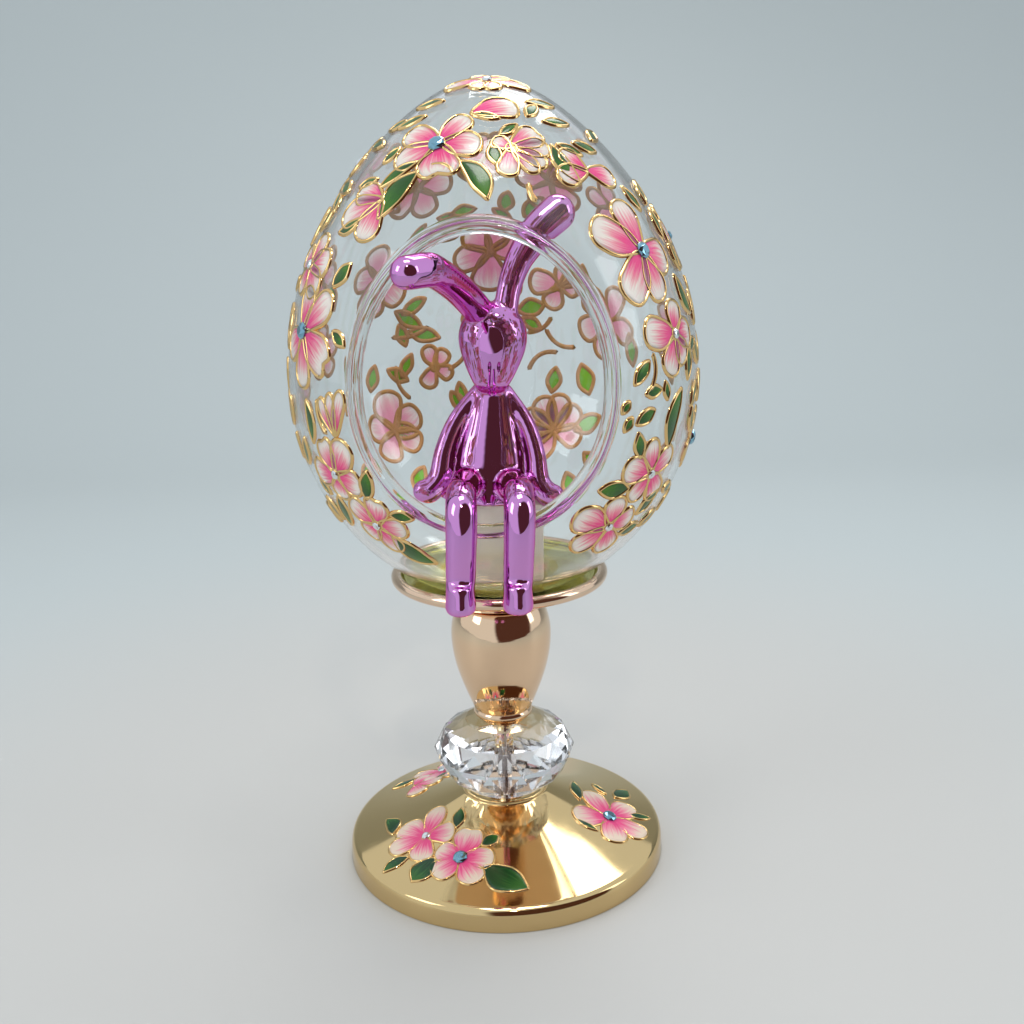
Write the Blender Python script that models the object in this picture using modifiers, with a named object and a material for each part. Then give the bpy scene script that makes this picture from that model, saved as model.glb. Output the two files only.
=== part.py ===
"""A clear glass egg on a plated metal stand, with a small plated rabbit sitting in the egg's round opening.

Metres, +Z up. The origin is the middle of the base's underside, and the egg's opening faces -Y.
"""

import math

import bmesh
import bpy
import numpy as np
from mathutils import Matrix, Vector

# Clear space left between two pieces that touch, and the distance under which two points are one.
GAP = 0.0003
WELD = 0.00001

# Base: a low cone on a short upright edge.
BASE_RADIUS = 0.0515
BASE_EDGE_HEIGHT = 0.0053
BASE_SHOULDER_HEIGHT = 0.0021
BASE_SHOULDER_INSET = 0.0018
BASE_COLLAR_RADIUS = 0.0138
BASE_COLLAR_HEIGHT = 0.0012
BASE_HEIGHT = 0.0217
BASE_HOLLOW = 0.0008
BASE_SIDES = 40

# Rod through the crystal, and its sockets in the base and in the baluster.
ROD_RADIUS = 0.0020
ROD_SOCKET = 0.0040

# Crystal: a cut bead, widest at its belt.
CRYSTAL_RADIUS = 0.0229
CRYSTAL_END_RADIUS = 0.0124
CRYSTAL_HEIGHT = 0.0228
CRYSTAL_SIDES = 14

# Baluster: a turned bulb on a narrow foot with a bead round it.
BALUSTER_HEIGHT = 0.0395
BALUSTER_RADIUS = 0.0159
BALUSTER_TOP_RADIUS = 0.0134
BALUSTER_NECK_RADIUS = 0.0093
BALUSTER_FOOT_RADIUS = 0.0073
BALUSTER_FOOT_HEIGHT = 0.0014
BALUSTER_BEAD_HEIGHT = 0.0030
BALUSTER_SIDES = 28

# Dish: a shallow pan with a round rolled rim.
DISH_RADIUS = 0.0339
DISH_RIM_RADIUS = 0.0018
DISH_FOOT_RADIUS = 0.0120
DISH_FLOOR = 0.0038
DISH_RIM_RISE = 0.0059
DISH_SEAT_RADIUS = 0.0120
DISH_SIDES = 36

# Egg: blown glass, an ellipse below its widest ring and a tapered one above it.
EGG_RADIUS = 0.0605
EGG_LOWER_HEIGHT = 0.0674
EGG_UPPER_HEIGHT = 0.0840
EGG_TAPER = 0.25
EGG_TAPER_POWER = 2.4
GLASS_WALL = 0.0018
EGG_SIDES = 36
EGG_STEPS = 20

# Opening: a flat cut across the egg's front, with a thick round lip.
MOUTH_WIDTH = 0.0690
MOUTH_TURN = math.radians(3.4)
MOUTH_TILT = math.radians(2.6)
LIP_RADIUS = 0.0018
LIP_STEPS = 44

# Block that the rabbit sits on.
SEAT_WIDTH = 0.0272
SEAT_DEPTH = 0.0260
SEAT_HEIGHT = 0.0248
SEAT_BEVEL = 0.0010

# Rabbit, from its hem to the tip of its upright ear. Its limbs are given in hundredths of that height.
RABBIT_HEIGHT = 0.0885
RABBIT_SIDEWAYS = -0.0027
RABBIT_FORWARD = 0.0040
RABBIT_LEAN = math.radians(3.6)
LEG_RADIUS = 0.0041
LEG_LENGTH = 0.0333
FOOT_HEIGHT = 0.0080
LEG_SPREAD = 0.0149
LEG_SIDEWAYS = 0.0008
LEG_TOE_OUT = 0.0009
LEG_CLEARANCE = 0.0030
EAR_RADIUS = 0.0042
EAR_CLEARANCE = 0.0014
EAR_TIP_RADIUS = 0.0038

# Cut stones: big ones, small ones, and how deep their flat sides are.
BIG_STONE_RADIUS = 0.0024
SMALL_STONE_RADIUS = 0.0014
STONE_DEPTH_SHARE = 0.55
STONE_TABLE_SHARE = 0.55
STONE_SIDES = 8

# Angle round the egg from its front in degrees, share of the egg's height, and whether the stone is big.
EGG_STONES = {
    "egg_stone_crown_front": (-23, 0.872, True),
    "egg_stone_crown_tip": (2, 0.986, False),
    "egg_stone_right_upper": (49, 0.687, True),
    "egg_stone_right_middle": (55, 0.542, False),
    "egg_stone_right_edge": (80, 0.324, True),
    "egg_stone_right_back": (98, 0.225, True),
    "egg_stone_right_lower": (47, 0.297, False),
    "egg_stone_right_bottom": (36, 0.205, False),
    "egg_stone_left_upper": (-66, 0.674, False),
    "egg_stone_left_middle": (-60, 0.561, True),
    "egg_stone_left_edge": (-92, 0.535, False),
    "egg_stone_left_lower": (-49, 0.310, False),
    "egg_stone_left_bottom": (-39, 0.218, False),
    "egg_stone_left_crown": (-96, 0.850, True),
    "egg_stone_back_upper": (181, 0.680, True),
    "egg_stone_back_right_low": (158, 0.265, True),
}

# Angle round the base in degrees, share of the way up its cone, and whether the stone is big.
BASE_STONES = {
    "base_stone_front_left": (-53, 0.50, False),
    "base_stone_front": (-25, 0.44, True),
    "base_stone_right": (75, 0.42, True),
    "base_stone_back_left": (-140, 0.46, True),
}

# Heights at which the pieces stand on one another.
CRYSTAL_BOTTOM = BASE_HEIGHT + GAP
CRYSTAL_TOP = CRYSTAL_BOTTOM + CRYSTAL_HEIGHT
BALUSTER_BOTTOM = CRYSTAL_TOP + GAP
BALUSTER_TOP = BALUSTER_BOTTOM + BALUSTER_HEIGHT
DISH_BOTTOM = BALUSTER_TOP + GAP
DISH_TOP_OF_FLOOR = DISH_BOTTOM + DISH_FLOOR
EGG_BOTTOM = DISH_TOP_OF_FLOOR + GAP
EGG_WIDEST = EGG_BOTTOM + EGG_LOWER_HEIGHT
EGG_HEIGHT = EGG_LOWER_HEIGHT + EGG_UPPER_HEIGHT
ROD_HOLE_RADIUS = ROD_RADIUS + GAP
MOUTH_DISTANCE = math.sqrt(EGG_RADIUS**2 - (MOUTH_WIDTH / 2) ** 2)


def clear_scene():
    for obj in list(bpy.data.objects):
        bpy.data.objects.remove(obj, do_unlink=True)


def make_collection(name):
    collection = bpy.data.collections.new(name)
    bpy.context.scene.collection.children.link(collection)
    return collection


def make_material(name, colour, roughness, metallic=0.0, transmission=0.0):
    material = bpy.data.materials.new(name)
    material.use_nodes = True
    shader = material.node_tree.nodes["Principled BSDF"]
    shader.inputs["Base Color"].default_value = (*colour, 1.0)
    shader.inputs["Roughness"].default_value = roughness
    shader.inputs["Metallic"].default_value = metallic
    shader.inputs["Transmission Weight"].default_value = transmission
    return material


def add_object(name, mesh, group, material=None):
    obj = bpy.data.objects.new(name, mesh)
    group.objects.link(obj)
    if material:
        mesh.materials.append(material)
    return obj


def hide_cutter(obj):
    obj.hide_render = True
    obj.display_type = "WIRE"


def boolean(obj, operation, other):
    modifier = obj.modifiers.new(operation.title() + " " + other.name, "BOOLEAN")
    modifier.operation = operation
    modifier.object = other


def arc(centre, radius, start, end, steps):
    """Points (radius, height) along an arc, its angles in degrees from the outward direction."""
    angles = np.radians(np.linspace(start, end, steps + 1))
    return [(centre[0] + radius * math.cos(a), centre[1] + radius * math.sin(a)) for a in angles]


def turned(name, profile, sides, group, material=None):
    """A turned solid: the profile's (radius, height) points, from the axis down the outer side, spun about Z."""
    mesh = bpy.data.meshes.new(name)
    points = [(radius, 0.0, height) for radius, height in profile]
    edges = [(i, i + 1) for i in range(len(points) - 1)]
    mesh.from_pydata(points, edges, [])
    obj = add_object(name, mesh, group, material)
    screw = obj.modifiers.new("Turn", "SCREW")
    screw.steps = sides
    screw.render_steps = sides
    screw.use_merge_vertices = True
    screw.merge_threshold = WELD
    return obj


def base_slope(share):
    """The base's (radius, height) at a share of the way up its slightly hollow cone."""
    low_radius = BASE_RADIUS - BASE_SHOULDER_INSET
    low_height = BASE_EDGE_HEIGHT + BASE_SHOULDER_HEIGHT
    high_height = BASE_HEIGHT - BASE_COLLAR_HEIGHT
    hollow = BASE_HOLLOW * math.sin(math.pi * share)
    radius = low_radius + (BASE_COLLAR_RADIUS - low_radius) * share
    return radius, low_height + (high_height - low_height) * share - hollow


def make_base(group):
    rim_inset = 0.15 * BASE_SHOULDER_INSET
    profile = [(0, BASE_HEIGHT - ROD_SOCKET), (ROD_HOLE_RADIUS, BASE_HEIGHT - ROD_SOCKET)]
    profile += [(ROD_HOLE_RADIUS, BASE_HEIGHT), (BASE_COLLAR_RADIUS, BASE_HEIGHT)]
    profile += [base_slope(share) for share in (1.0, 0.85, 0.6, 0.3, 0.0)]
    shoulder = BASE_EDGE_HEIGHT + BASE_SHOULDER_HEIGHT
    profile += [(BASE_RADIUS - 0.45 * BASE_SHOULDER_INSET, shoulder - 0.3 * BASE_SHOULDER_HEIGHT)]
    profile += [(BASE_RADIUS - rim_inset, BASE_EDGE_HEIGHT), (BASE_RADIUS, 0), (0, 0)]
    material = make_material("plated base", (0.86, 0.68, 0.44), 0.12, metallic=1.0)
    return turned("base", profile, BASE_SIDES, group, material)


def make_rod(group):
    length = CRYSTAL_HEIGHT + 2 * ROD_SOCKET
    bpy.ops.mesh.primitive_cylinder_add(
        vertices=16,
        radius=ROD_RADIUS,
        depth=length,
        location=(0, 0, (CRYSTAL_BOTTOM + CRYSTAL_TOP) / 2),
    )
    rod = bpy.context.object
    rod.name = "stem_rod"
    rod.users_collection[0].objects.unlink(rod)
    group.objects.link(rod)
    rod.data.materials.append(make_material("rod steel", (0.35, 0.34, 0.36), 0.35, metallic=1.0))
    return rod


def make_crystal(group, cutters):
    """Rings of corners, each turned half a step from the last, wrapped in flat facets, and a bore for the rod."""
    ring_shares = ((0.0, 0.0), (0.24, 0.66), (0.57, 1.0), (0.84, 0.69), (1.0, 0.02))
    cage = bmesh.new()
    for number, (height_share, radius_share) in enumerate(ring_shares):
        radius = CRYSTAL_END_RADIUS + (CRYSTAL_RADIUS - CRYSTAL_END_RADIUS) * radius_share
        height = CRYSTAL_BOTTOM + CRYSTAL_HEIGHT * height_share
        for side in range(CRYSTAL_SIDES):
            angle = math.tau * (side + 0.5 * (number % 2)) / CRYSTAL_SIDES
            cage.verts.new((radius * math.cos(angle), radius * math.sin(angle), height))
    bmesh.ops.convex_hull(cage, input=cage.verts)
    mesh = bpy.data.meshes.new("crystal_ball")
    cage.to_mesh(mesh)
    cage.free()
    material = make_material("cut crystal", (0.95, 0.97, 1.0), 0.02, transmission=1.0)
    crystal = add_object("crystal_ball", mesh, group, material)
    bpy.ops.mesh.primitive_cylinder_add(
        vertices=16,
        radius=ROD_HOLE_RADIUS,
        depth=CRYSTAL_HEIGHT * 1.2,
        location=(0, 0, (CRYSTAL_BOTTOM + CRYSTAL_TOP) / 2),
    )
    bore = bpy.context.object
    bore.name = "crystal_bore"
    bore.users_collection[0].objects.unlink(bore)
    cutters.objects.link(bore)
    hide_cutter(bore)
    boolean(crystal, "DIFFERENCE", bore)
    return crystal


def make_baluster(group):
    """A bulb that swells from its neck by a quarter sine and closes above its widest ring by an ellipse."""
    neck = BALUSTER_BOTTOM + BALUSTER_FOOT_HEIGHT + BALUSTER_BEAD_HEIGHT
    body = BALUSTER_TOP - neck
    widest = neck + 0.71 * body
    close = math.acos(BALUSTER_TOP_RADIUS / BALUSTER_RADIUS)
    profile = [(0, BALUSTER_TOP)]
    for share in (1.0, 0.66, 0.33):
        height = widest + (BALUSTER_TOP - widest) * math.sin(close * share) / math.sin(close)
        profile.append((BALUSTER_RADIUS * math.cos(close * share), height))
    for share in (1.0, 0.83, 0.66, 0.5, 0.33, 0.16, 0.0):
        swell = math.sin(math.pi / 2 * share)
        radius = BALUSTER_NECK_RADIUS + (BALUSTER_RADIUS - BALUSTER_NECK_RADIUS) * swell
        profile.append((radius, neck + (widest - neck) * share))
    foot_top = BALUSTER_BOTTOM + BALUSTER_FOOT_HEIGHT
    bead_middle = foot_top + BALUSTER_BEAD_HEIGHT / 2
    waist = 0.94 * BALUSTER_NECK_RADIUS
    profile += [(waist, neck - 0.1 * BALUSTER_BEAD_HEIGHT), (BALUSTER_NECK_RADIUS, bead_middle)]
    profile += [(waist, foot_top), (BALUSTER_FOOT_RADIUS, foot_top), (BALUSTER_FOOT_RADIUS, BALUSTER_BOTTOM)]
    socket_top = BALUSTER_BOTTOM + ROD_SOCKET
    profile += [(ROD_HOLE_RADIUS, BALUSTER_BOTTOM), (ROD_HOLE_RADIUS, socket_top), (0, socket_top)]
    material = make_material("plated baluster", (0.90, 0.66, 0.52), 0.10, metallic=1.0)
    return turned("baluster", profile, BALUSTER_SIDES, group, material)


def egg_radius(height, inset=0.0):
    """The egg's radius at a height, for its outer face or for a face set in from it by a wall."""
    height = np.asarray(height, dtype=float)
    below = (EGG_WIDEST - height) / (EGG_LOWER_HEIGHT - inset)
    above = (height - EGG_WIDEST) / (EGG_UPPER_HEIGHT - inset)
    share = np.clip(np.maximum(below, above), 0.0, 1.0)
    narrowing = np.where(above > 0, 1 - EGG_TAPER * share**EGG_TAPER_POWER, 1.0)
    return (EGG_RADIUS - inset) * np.sqrt(1 - share**2) * narrowing


def egg_profile(inset, steps):
    """Points down the egg's side, from the top of the axis to the bottom, closer together at the ends."""
    turns = np.linspace(0, math.pi, steps + 1)
    reach = np.where(turns < math.pi / 2, EGG_UPPER_HEIGHT - inset, EGG_LOWER_HEIGHT - inset)
    heights = EGG_WIDEST + reach * np.cos(turns)
    radii = egg_radius(heights, inset)
    radii[0] = 0.0
    radii[-1] = 0.0
    return list(zip(radii.tolist(), heights.tolist()))


def egg_point(angle, share):
    """A point on the egg's outer face and its outward normal, at an angle from the front and a height share."""
    height = EGG_BOTTOM + EGG_HEIGHT * share
    radius = float(egg_radius(height))
    slope = float(egg_radius(height + GAP) - egg_radius(height - GAP)) / (2 * GAP)
    outward = Vector((math.sin(angle), -math.cos(angle), 0))
    normal = (outward - Vector((0, 0, slope))).normalized()
    return outward * radius + Vector((0, 0, height)), normal


def mouth_frame():
    """The opening's outward, sideways and upward directions, and the middle of its plane."""
    outward = Vector(
        (
            -math.sin(MOUTH_TURN) * math.cos(MOUTH_TILT),
            -math.cos(MOUTH_TURN) * math.cos(MOUTH_TILT),
            math.sin(MOUTH_TILT),
        )
    )
    sideways = Vector((0, 0, 1)).cross(outward).normalized()
    upward = outward.cross(sideways)
    centre = Vector((0, 0, EGG_WIDEST)) + outward * MOUTH_DISTANCE
    return outward, sideways, upward, centre


def lip_points(count):
    """Points round the opening where its plane meets the middle of the glass wall, found by halving."""
    _, sideways, upward, centre = mouth_frame()
    angles = np.linspace(0, math.tau, count, endpoint=False)
    directions = np.outer(np.cos(angles), sideways) + np.outer(np.sin(angles), upward)
    nearest = np.zeros(count)
    furthest = np.full(count, 1.5 * EGG_UPPER_HEIGHT)
    for _ in range(40):
        middle = (nearest + furthest) / 2
        points = np.array(centre) + middle[:, None] * directions
        wall = egg_radius(points[:, 2], GLASS_WALL / 2)
        inside = np.hypot(points[:, 0], points[:, 1]) < wall
        nearest = np.where(inside, middle, nearest)
        furthest = np.where(inside, furthest, middle)
    return np.array(centre) + nearest[:, None] * directions


def curve_mesh(name, points, radii, cyclic, resolution, ends=True):
    """A round tube through the points, with its radius at each, as a welded mesh."""
    curve = bpy.data.curves.new(name, "CURVE")
    curve.dimensions = "3D"
    curve.bevel_depth = 1.0
    curve.bevel_resolution = resolution
    curve.use_fill_caps = ends
    spline = curve.splines.new("POLY")
    spline.points.add(len(points) - 1)
    for place, point, radius in zip(spline.points, points, radii):
        place.co = (*point, 1.0)
        place.radius = radius
    spline.use_cyclic_u = cyclic
    guide = bpy.data.objects.new(name, curve)
    bpy.context.scene.collection.objects.link(guide)
    bpy.context.view_layer.update()
    evaluated = guide.evaluated_get(bpy.context.evaluated_depsgraph_get())
    mesh = bpy.data.meshes.new_from_object(evaluated)
    bpy.data.objects.remove(guide, do_unlink=True)
    welded = bmesh.new()
    welded.from_mesh(mesh)
    bmesh.ops.remove_doubles(welded, verts=welded.verts, dist=WELD)
    bmesh.ops.recalc_face_normals(welded, faces=welded.faces)
    welded.to_mesh(mesh)
    welded.free()
    return mesh


def make_egg(group, cutters):
    """The outer egg less the inner one and less what lies before the opening's plane, joined to the round lip."""
    material = make_material("clear glass", (0.97, 0.99, 0.99), 0.01, transmission=1.0)
    egg = turned("egg_shell", egg_profile(0.0, EGG_STEPS), EGG_SIDES, group, material)
    hollow = turned("egg_hollow", egg_profile(GLASS_WALL, EGG_STEPS - 4), EGG_SIDES, cutters)
    hide_cutter(hollow)
    boolean(egg, "DIFFERENCE", hollow)

    outward, sideways, upward, centre = mouth_frame()
    reach = 2 * EGG_RADIUS
    bpy.ops.mesh.primitive_cube_add(size=1)
    cutter = bpy.context.object
    cutter.name = "mouth_cutter"
    cutter.users_collection[0].objects.unlink(cutter)
    cutters.objects.link(cutter)
    place = Matrix((sideways, upward, outward)).transposed().to_4x4()
    place.translation = centre + outward * (EGG_RADIUS / 2)
    sides = Matrix.Diagonal((reach, 2 * EGG_HEIGHT, EGG_RADIUS, 1))
    cutter.data.transform(place @ sides)
    hide_cutter(cutter)
    boolean(egg, "DIFFERENCE", cutter)

    path = lip_points(LIP_STEPS)
    lip_mesh = curve_mesh("egg_lip", path, [LIP_RADIUS] * len(path), True, 2, ends=False)
    lip = add_object("egg_lip", lip_mesh, cutters)
    hide_cutter(lip)
    boolean(egg, "UNION", lip)
    return egg


def make_dish(group):
    """The inside follows the egg's underside out to the seat's edge, then runs straight to the rolled rim."""
    rim_middle = DISH_TOP_OF_FLOOR + DISH_RIM_RISE
    rim_centre = (DISH_RADIUS - DISH_RIM_RADIUS, rim_middle)
    profile = []
    for share in (0.0, 0.5, 1.0):
        radius = DISH_SEAT_RADIUS * share
        rise = EGG_LOWER_HEIGHT * (1 - math.sqrt(1 - (radius / EGG_RADIUS) ** 2))
        profile.append((radius, DISH_TOP_OF_FLOOR + rise))
    profile += arc(rim_centre, DISH_RIM_RADIUS, 195, -80, 9)
    under = rim_middle - DISH_RIM_RADIUS
    for share in (0.75, 0.5, 0.25, 0.0):
        radius = DISH_FOOT_RADIUS + (rim_centre[0] - DISH_FOOT_RADIUS) * share
        profile.append((radius, DISH_BOTTOM + (under - DISH_BOTTOM) * share**1.15))
    profile.append((0, DISH_BOTTOM))
    material = make_material("plated dish", (0.88, 0.66, 0.46), 0.12, metallic=1.0)
    return turned("dish", profile, DISH_SIDES, group, material)


def seat_bottom():
    """The height at which the block's corners meet the inside of the egg, and the clearance above it."""
    corner = math.hypot(SEAT_WIDTH / 2, SEAT_DEPTH / 2)
    share = corner / (EGG_RADIUS - GLASS_WALL)
    drop = (EGG_LOWER_HEIGHT - GLASS_WALL) * math.sqrt(1 - share**2)
    return EGG_WIDEST - drop + GAP


def make_seat(group):
    bpy.ops.mesh.primitive_cube_add(size=1)
    seat = bpy.context.object
    seat.name = "seat_block"
    seat.users_collection[0].objects.unlink(seat)
    group.objects.link(seat)
    seat.data.transform(Matrix.Diagonal((SEAT_WIDTH, SEAT_DEPTH, SEAT_HEIGHT, 1)))
    seat.location = (0, 0, seat_bottom() + SEAT_HEIGHT / 2)
    bevel = seat.modifiers.new("Rounded edges", "BEVEL")
    bevel.width = SEAT_BEVEL
    bevel.segments = 2
    seat.data.materials.append(make_material("frosted block", (0.80, 0.76, 0.70), 0.45, transmission=0.6))
    return seat


def smooth_route(points, radii, steps):
    """Points and radii along a smooth curve through the given ones, each stretch a cubic through its neighbours."""
    rows = np.column_stack([np.array(points), radii])
    padded = np.vstack([2 * rows[0] - rows[1], rows, 2 * rows[-1] - rows[-2]])
    route = []
    for i in range(1, len(padded) - 2):
        before, start, end, after = padded[i - 1 : i + 3]
        for t in np.linspace(0, 1, steps, endpoint=False):
            route.append(
                0.5
                * (
                    2 * start
                    + (end - before) * t
                    + (2 * before - 5 * start + 4 * end - after) * t**2
                    + (3 * start - before - 3 * end + after) * t**3
                )
            )
    route.append(rows[-1])
    route = np.array(route)
    return route[:, :3], route[:, 3]


def add_limb(figure, points, radii):
    """A round limb along a smooth route, with a ball at each end."""
    route, widths = smooth_route(points, radii, 6)
    mesh = curve_mesh("limb", route, widths, False, 3)
    figure.from_mesh(mesh)
    bpy.data.meshes.remove(mesh)
    for point, radius in ((route[0], widths[0]), (route[-1], widths[-1])):
        place = Matrix.Translation(Vector(point))
        bmesh.ops.create_icosphere(figure, subdivisions=3, radius=radius * 1.005, matrix=place)


def add_turned_form(figure, profile, depth_share, place):
    """A turned form of (radius, height) points, flattened front to back, put in its place in the figure."""
    form = bmesh.new()
    ring = [form.verts.new((radius, 0, height)) for radius, height in profile]
    edges = [form.edges.new(pair) for pair in zip(ring, ring[1:])]
    bmesh.ops.spin(
        form, geom=ring + edges, cent=(0, 0, 0), axis=(0, 0, 1), angle=math.tau, steps=32, use_merge=True
    )
    bmesh.ops.remove_doubles(form, verts=form.verts, dist=WELD)
    bmesh.ops.transform(form, verts=form.verts, matrix=place @ Matrix.Diagonal((1, depth_share, 1, 1)))
    bmesh.ops.recalc_face_normals(form, faces=form.faces)
    mesh = bpy.data.meshes.new("form")
    form.to_mesh(mesh)
    form.free()
    figure.from_mesh(mesh)
    bpy.data.meshes.remove(mesh)


def rabbit_place():
    """From the figure's own axes, in hundredths of its height from the middle of its hem, to the object's."""
    unit = RABBIT_HEIGHT / 100
    hem = seat_bottom() + SEAT_HEIGHT + GAP
    lean = Matrix.Rotation(RABBIT_LEAN, 4, "Y")
    move = Matrix.Translation((RABBIT_SIDEWAYS, -RABBIT_FORWARD, hem))
    return move @ lean @ Matrix.Scale(unit, 4), hem


def make_rabbit(group, cutters):
    """Body, arms, head, ears and legs, fused and rounded where they meet, with two slits in the face and a flat hem."""
    place, hem = rabbit_place()
    unit = RABBIT_HEIGHT / 100
    figure = bmesh.new()

    body = [(0, 41), (4, 40.5), (6.2, 38), (7.2, 34), (9.2, 27), (11.6, 20), (13.8, 12), (15.8, 5), (17.6, -2), (0, -2)]
    add_turned_form(figure, body, 0.80, place)

    head = [(0, 67), (3.6, 66.4), (7.6, 64), (10.5, 60), (11.4, 55.5), (10.8, 51), (9.0, 46), (7.2, 42), (5.4, 39)]
    head += [(3.0, 37.4), (0, 37)]
    tilt = Matrix.Translation((-0.4, -3, 0)) @ Matrix.Translation((0, 0, 52)) @ Matrix.Rotation(-0.22, 4, "X")
    add_turned_form(figure, head, 0.95, place @ tilt @ Matrix.Translation((0, 0, -52)))

    def from_figure(points):
        return [place @ Vector(point) for point in points]

    for side in (-1, 1):
        arm = [(side * x, y, z) for x, y, z in ((4.5, 0, 37), (11.5, -2, 27), (15.3, -4.3, 17), (16.7, -6.6, 8))]
        arm += [(side * 20.0, -8, 2.8), (side * 22.3, -8, 1.8)]
        add_limb(figure, from_figure(arm), [share * unit for share in (2.4, 2.7, 2.9, 3.4, 2.7, 2.4)])

    lip = lip_points(72)
    lowest = lip[lip[:, 2].argmin()]
    knee_front = min(lowest[1], lip[:, 1].mean()) - LIP_RADIUS - LEG_CLEARANCE - LEG_RADIUS
    over_lip = lowest[2] + LIP_RADIUS + LEG_CLEARANCE + LEG_RADIUS
    for side in (-1, 1):
        knee_side = RABBIT_SIDEWAYS + LEG_SIDEWAYS + side * LEG_SPREAD / 2
        knee = Vector((knee_side, knee_front, over_lip + 0.3 * LEG_RADIUS))
        hip = place @ Vector((side * 7.2, -4, 8.5))
        foot = knee + Vector((-LEG_TOE_OUT, 0, LEG_RADIUS + FOOT_HEIGHT / 2 - LEG_LENGTH))
        middle = Vector((knee.x, lowest[1] + 1.6 * LEG_RADIUS, over_lip + 0.1 * LEG_RADIUS))
        bend = knee + Vector((0, -0.35 * LEG_RADIUS, -1.3 * LEG_RADIUS))
        route = [hip, middle, knee + Vector((0, 0.8 * LEG_RADIUS, 0)), bend, foot]
        add_limb(figure, route, [LEG_RADIUS * share for share in (1.15, 1.0, 1.0, 1.0, 1.0)])
        half = FOOT_HEIGHT / 2
        corner = 0.3 * LEG_RADIUS
        sole = arc((LEG_RADIUS - corner, corner - half), corner, 0, -90, 3)
        shoe = [(0, half), (0.9 * LEG_RADIUS, half), *sole, (0, -half)]
        add_turned_form(figure, shoe, 1.25, Matrix.Translation(foot + Vector((0, -0.2 * LEG_RADIUS, 0))))

    _, sideways, upward, centre = mouth_frame()
    across = lip - np.array(centre)
    angles = np.arctan2(across @ np.array(upward), across @ np.array(sideways))
    edge = Vector(lip[np.abs(angles - math.radians(112)).argmin()])
    inward = (centre - edge).normalized()
    crossing = edge + inward * (LIP_RADIUS + EAR_CLEARANCE + EAR_RADIUS)
    root = place @ Vector((-4.6, -4, 63))
    tip = crossing + Vector((-7.2, -12.5, 0.6)) * unit
    rise = root.lerp(crossing, 0.42) + Vector((-1.2, 0, 2.4)) * unit
    bend = crossing + Vector((-2.6, -6.5, 0.9)) * unit
    ear = [root, rise, crossing, bend, tip]
    add_limb(figure, ear, [0.85 * EAR_RADIUS, 0.9 * EAR_RADIUS, EAR_RADIUS, EAR_RADIUS, EAR_TIP_RADIUS])

    upright = from_figure([(3.4, -3, 61), (4.4, 0, 71), (7.6, 5, 80.5), (14.0, 11, 90.0), (20.0, 15, 95.6)])
    add_limb(figure, upright, [EAR_RADIUS * share for share in (0.72, 0.76, 0.90, 1.06, 1.10)])

    mesh = bpy.data.meshes.new("rabbit")
    figure.to_mesh(mesh)
    figure.free()
    material = make_material("plated rabbit", (0.62, 0.20, 0.62), 0.08, metallic=1.0)
    rabbit = add_object("rabbit", mesh, group, material)

    fuse = rabbit.modifiers.new("Fuse", "REMESH")
    fuse.mode = "VOXEL"
    fuse.voxel_size = 0.0085 * RABBIT_HEIGHT
    soften = rabbit.modifiers.new("Round the joins", "SMOOTH")
    soften.factor = 0.5
    soften.iterations = 6
    thin = rabbit.modifiers.new("Fewer faces", "DECIMATE")
    thin.ratio = 0.042

    slits = bmesh.new()
    for side in (-1, 1):
        eye = place @ Matrix.Translation((0.3 + side * 1.3, -12.2, 46.2)) @ Matrix.Diagonal((0.5, 1.3, 1.55, 1))
        bmesh.ops.create_icosphere(slits, subdivisions=2, radius=1, matrix=eye)
    slit_mesh = bpy.data.meshes.new("face_slits")
    slits.to_mesh(slit_mesh)
    slits.free()
    face = add_object("face_slits", slit_mesh, cutters)
    hide_cutter(face)
    boolean(rabbit, "DIFFERENCE", face)

    bpy.ops.mesh.primitive_cube_add(size=1)
    under = bpy.context.object
    under.name = "hem_cutter"
    under.users_collection[0].objects.unlink(under)
    cutters.objects.link(under)
    depth = 0.3 * RABBIT_HEIGHT
    under.data.transform(Matrix.Diagonal((RABBIT_HEIGHT, depth, 0.1 * RABBIT_HEIGHT, 1)))
    under.location = (RABBIT_SIDEWAYS, -RABBIT_FORWARD, hem - 0.05 * RABBIT_HEIGHT)
    hide_cutter(under)
    boolean(rabbit, "DIFFERENCE", under)
    return rabbit


def make_stone(name, point, normal, big, group, materials):
    """A flat-backed stone: an eight-sided frustum whose back lies just off the surface."""
    radius = BIG_STONE_RADIUS if big else SMALL_STONE_RADIUS
    depth = radius * STONE_DEPTH_SHARE
    bpy.ops.mesh.primitive_cone_add(
        vertices=STONE_SIDES, radius1=radius, radius2=radius * STONE_TABLE_SHARE, depth=depth
    )
    stone = bpy.context.object
    stone.name = name
    stone.users_collection[0].objects.unlink(stone)
    group.objects.link(stone)
    stone.location = point + normal * (GAP + depth / 2)
    stone.rotation_euler = normal.to_track_quat("Z", "Y").to_euler()
    stone.data.materials.append(materials[big])
    return stone


def make_stones(group):
    aqua = make_material("aqua stone", (0.45, 0.75, 0.85), 0.05, transmission=0.7)
    clear = make_material("clear stone", (0.92, 0.94, 0.96), 0.05, transmission=0.7)
    for name, (angle, share, big) in EGG_STONES.items():
        point, normal = egg_point(math.radians(angle), share)
        make_stone(name, point, normal, big, group, (clear, aqua))
    for name, (angle, share, big) in BASE_STONES.items():
        turn = math.radians(angle)
        outward = Vector((math.sin(turn), -math.cos(turn), 0))
        radius, height = base_slope(share)
        near_radius, near_height = base_slope(share + 0.02)
        normal = (outward * (near_height - height) + Vector((0, 0, radius - near_radius))).normalized()
        make_stone(name, outward * radius + Vector((0, 0, height)), normal, big, group, (clear, aqua))


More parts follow.
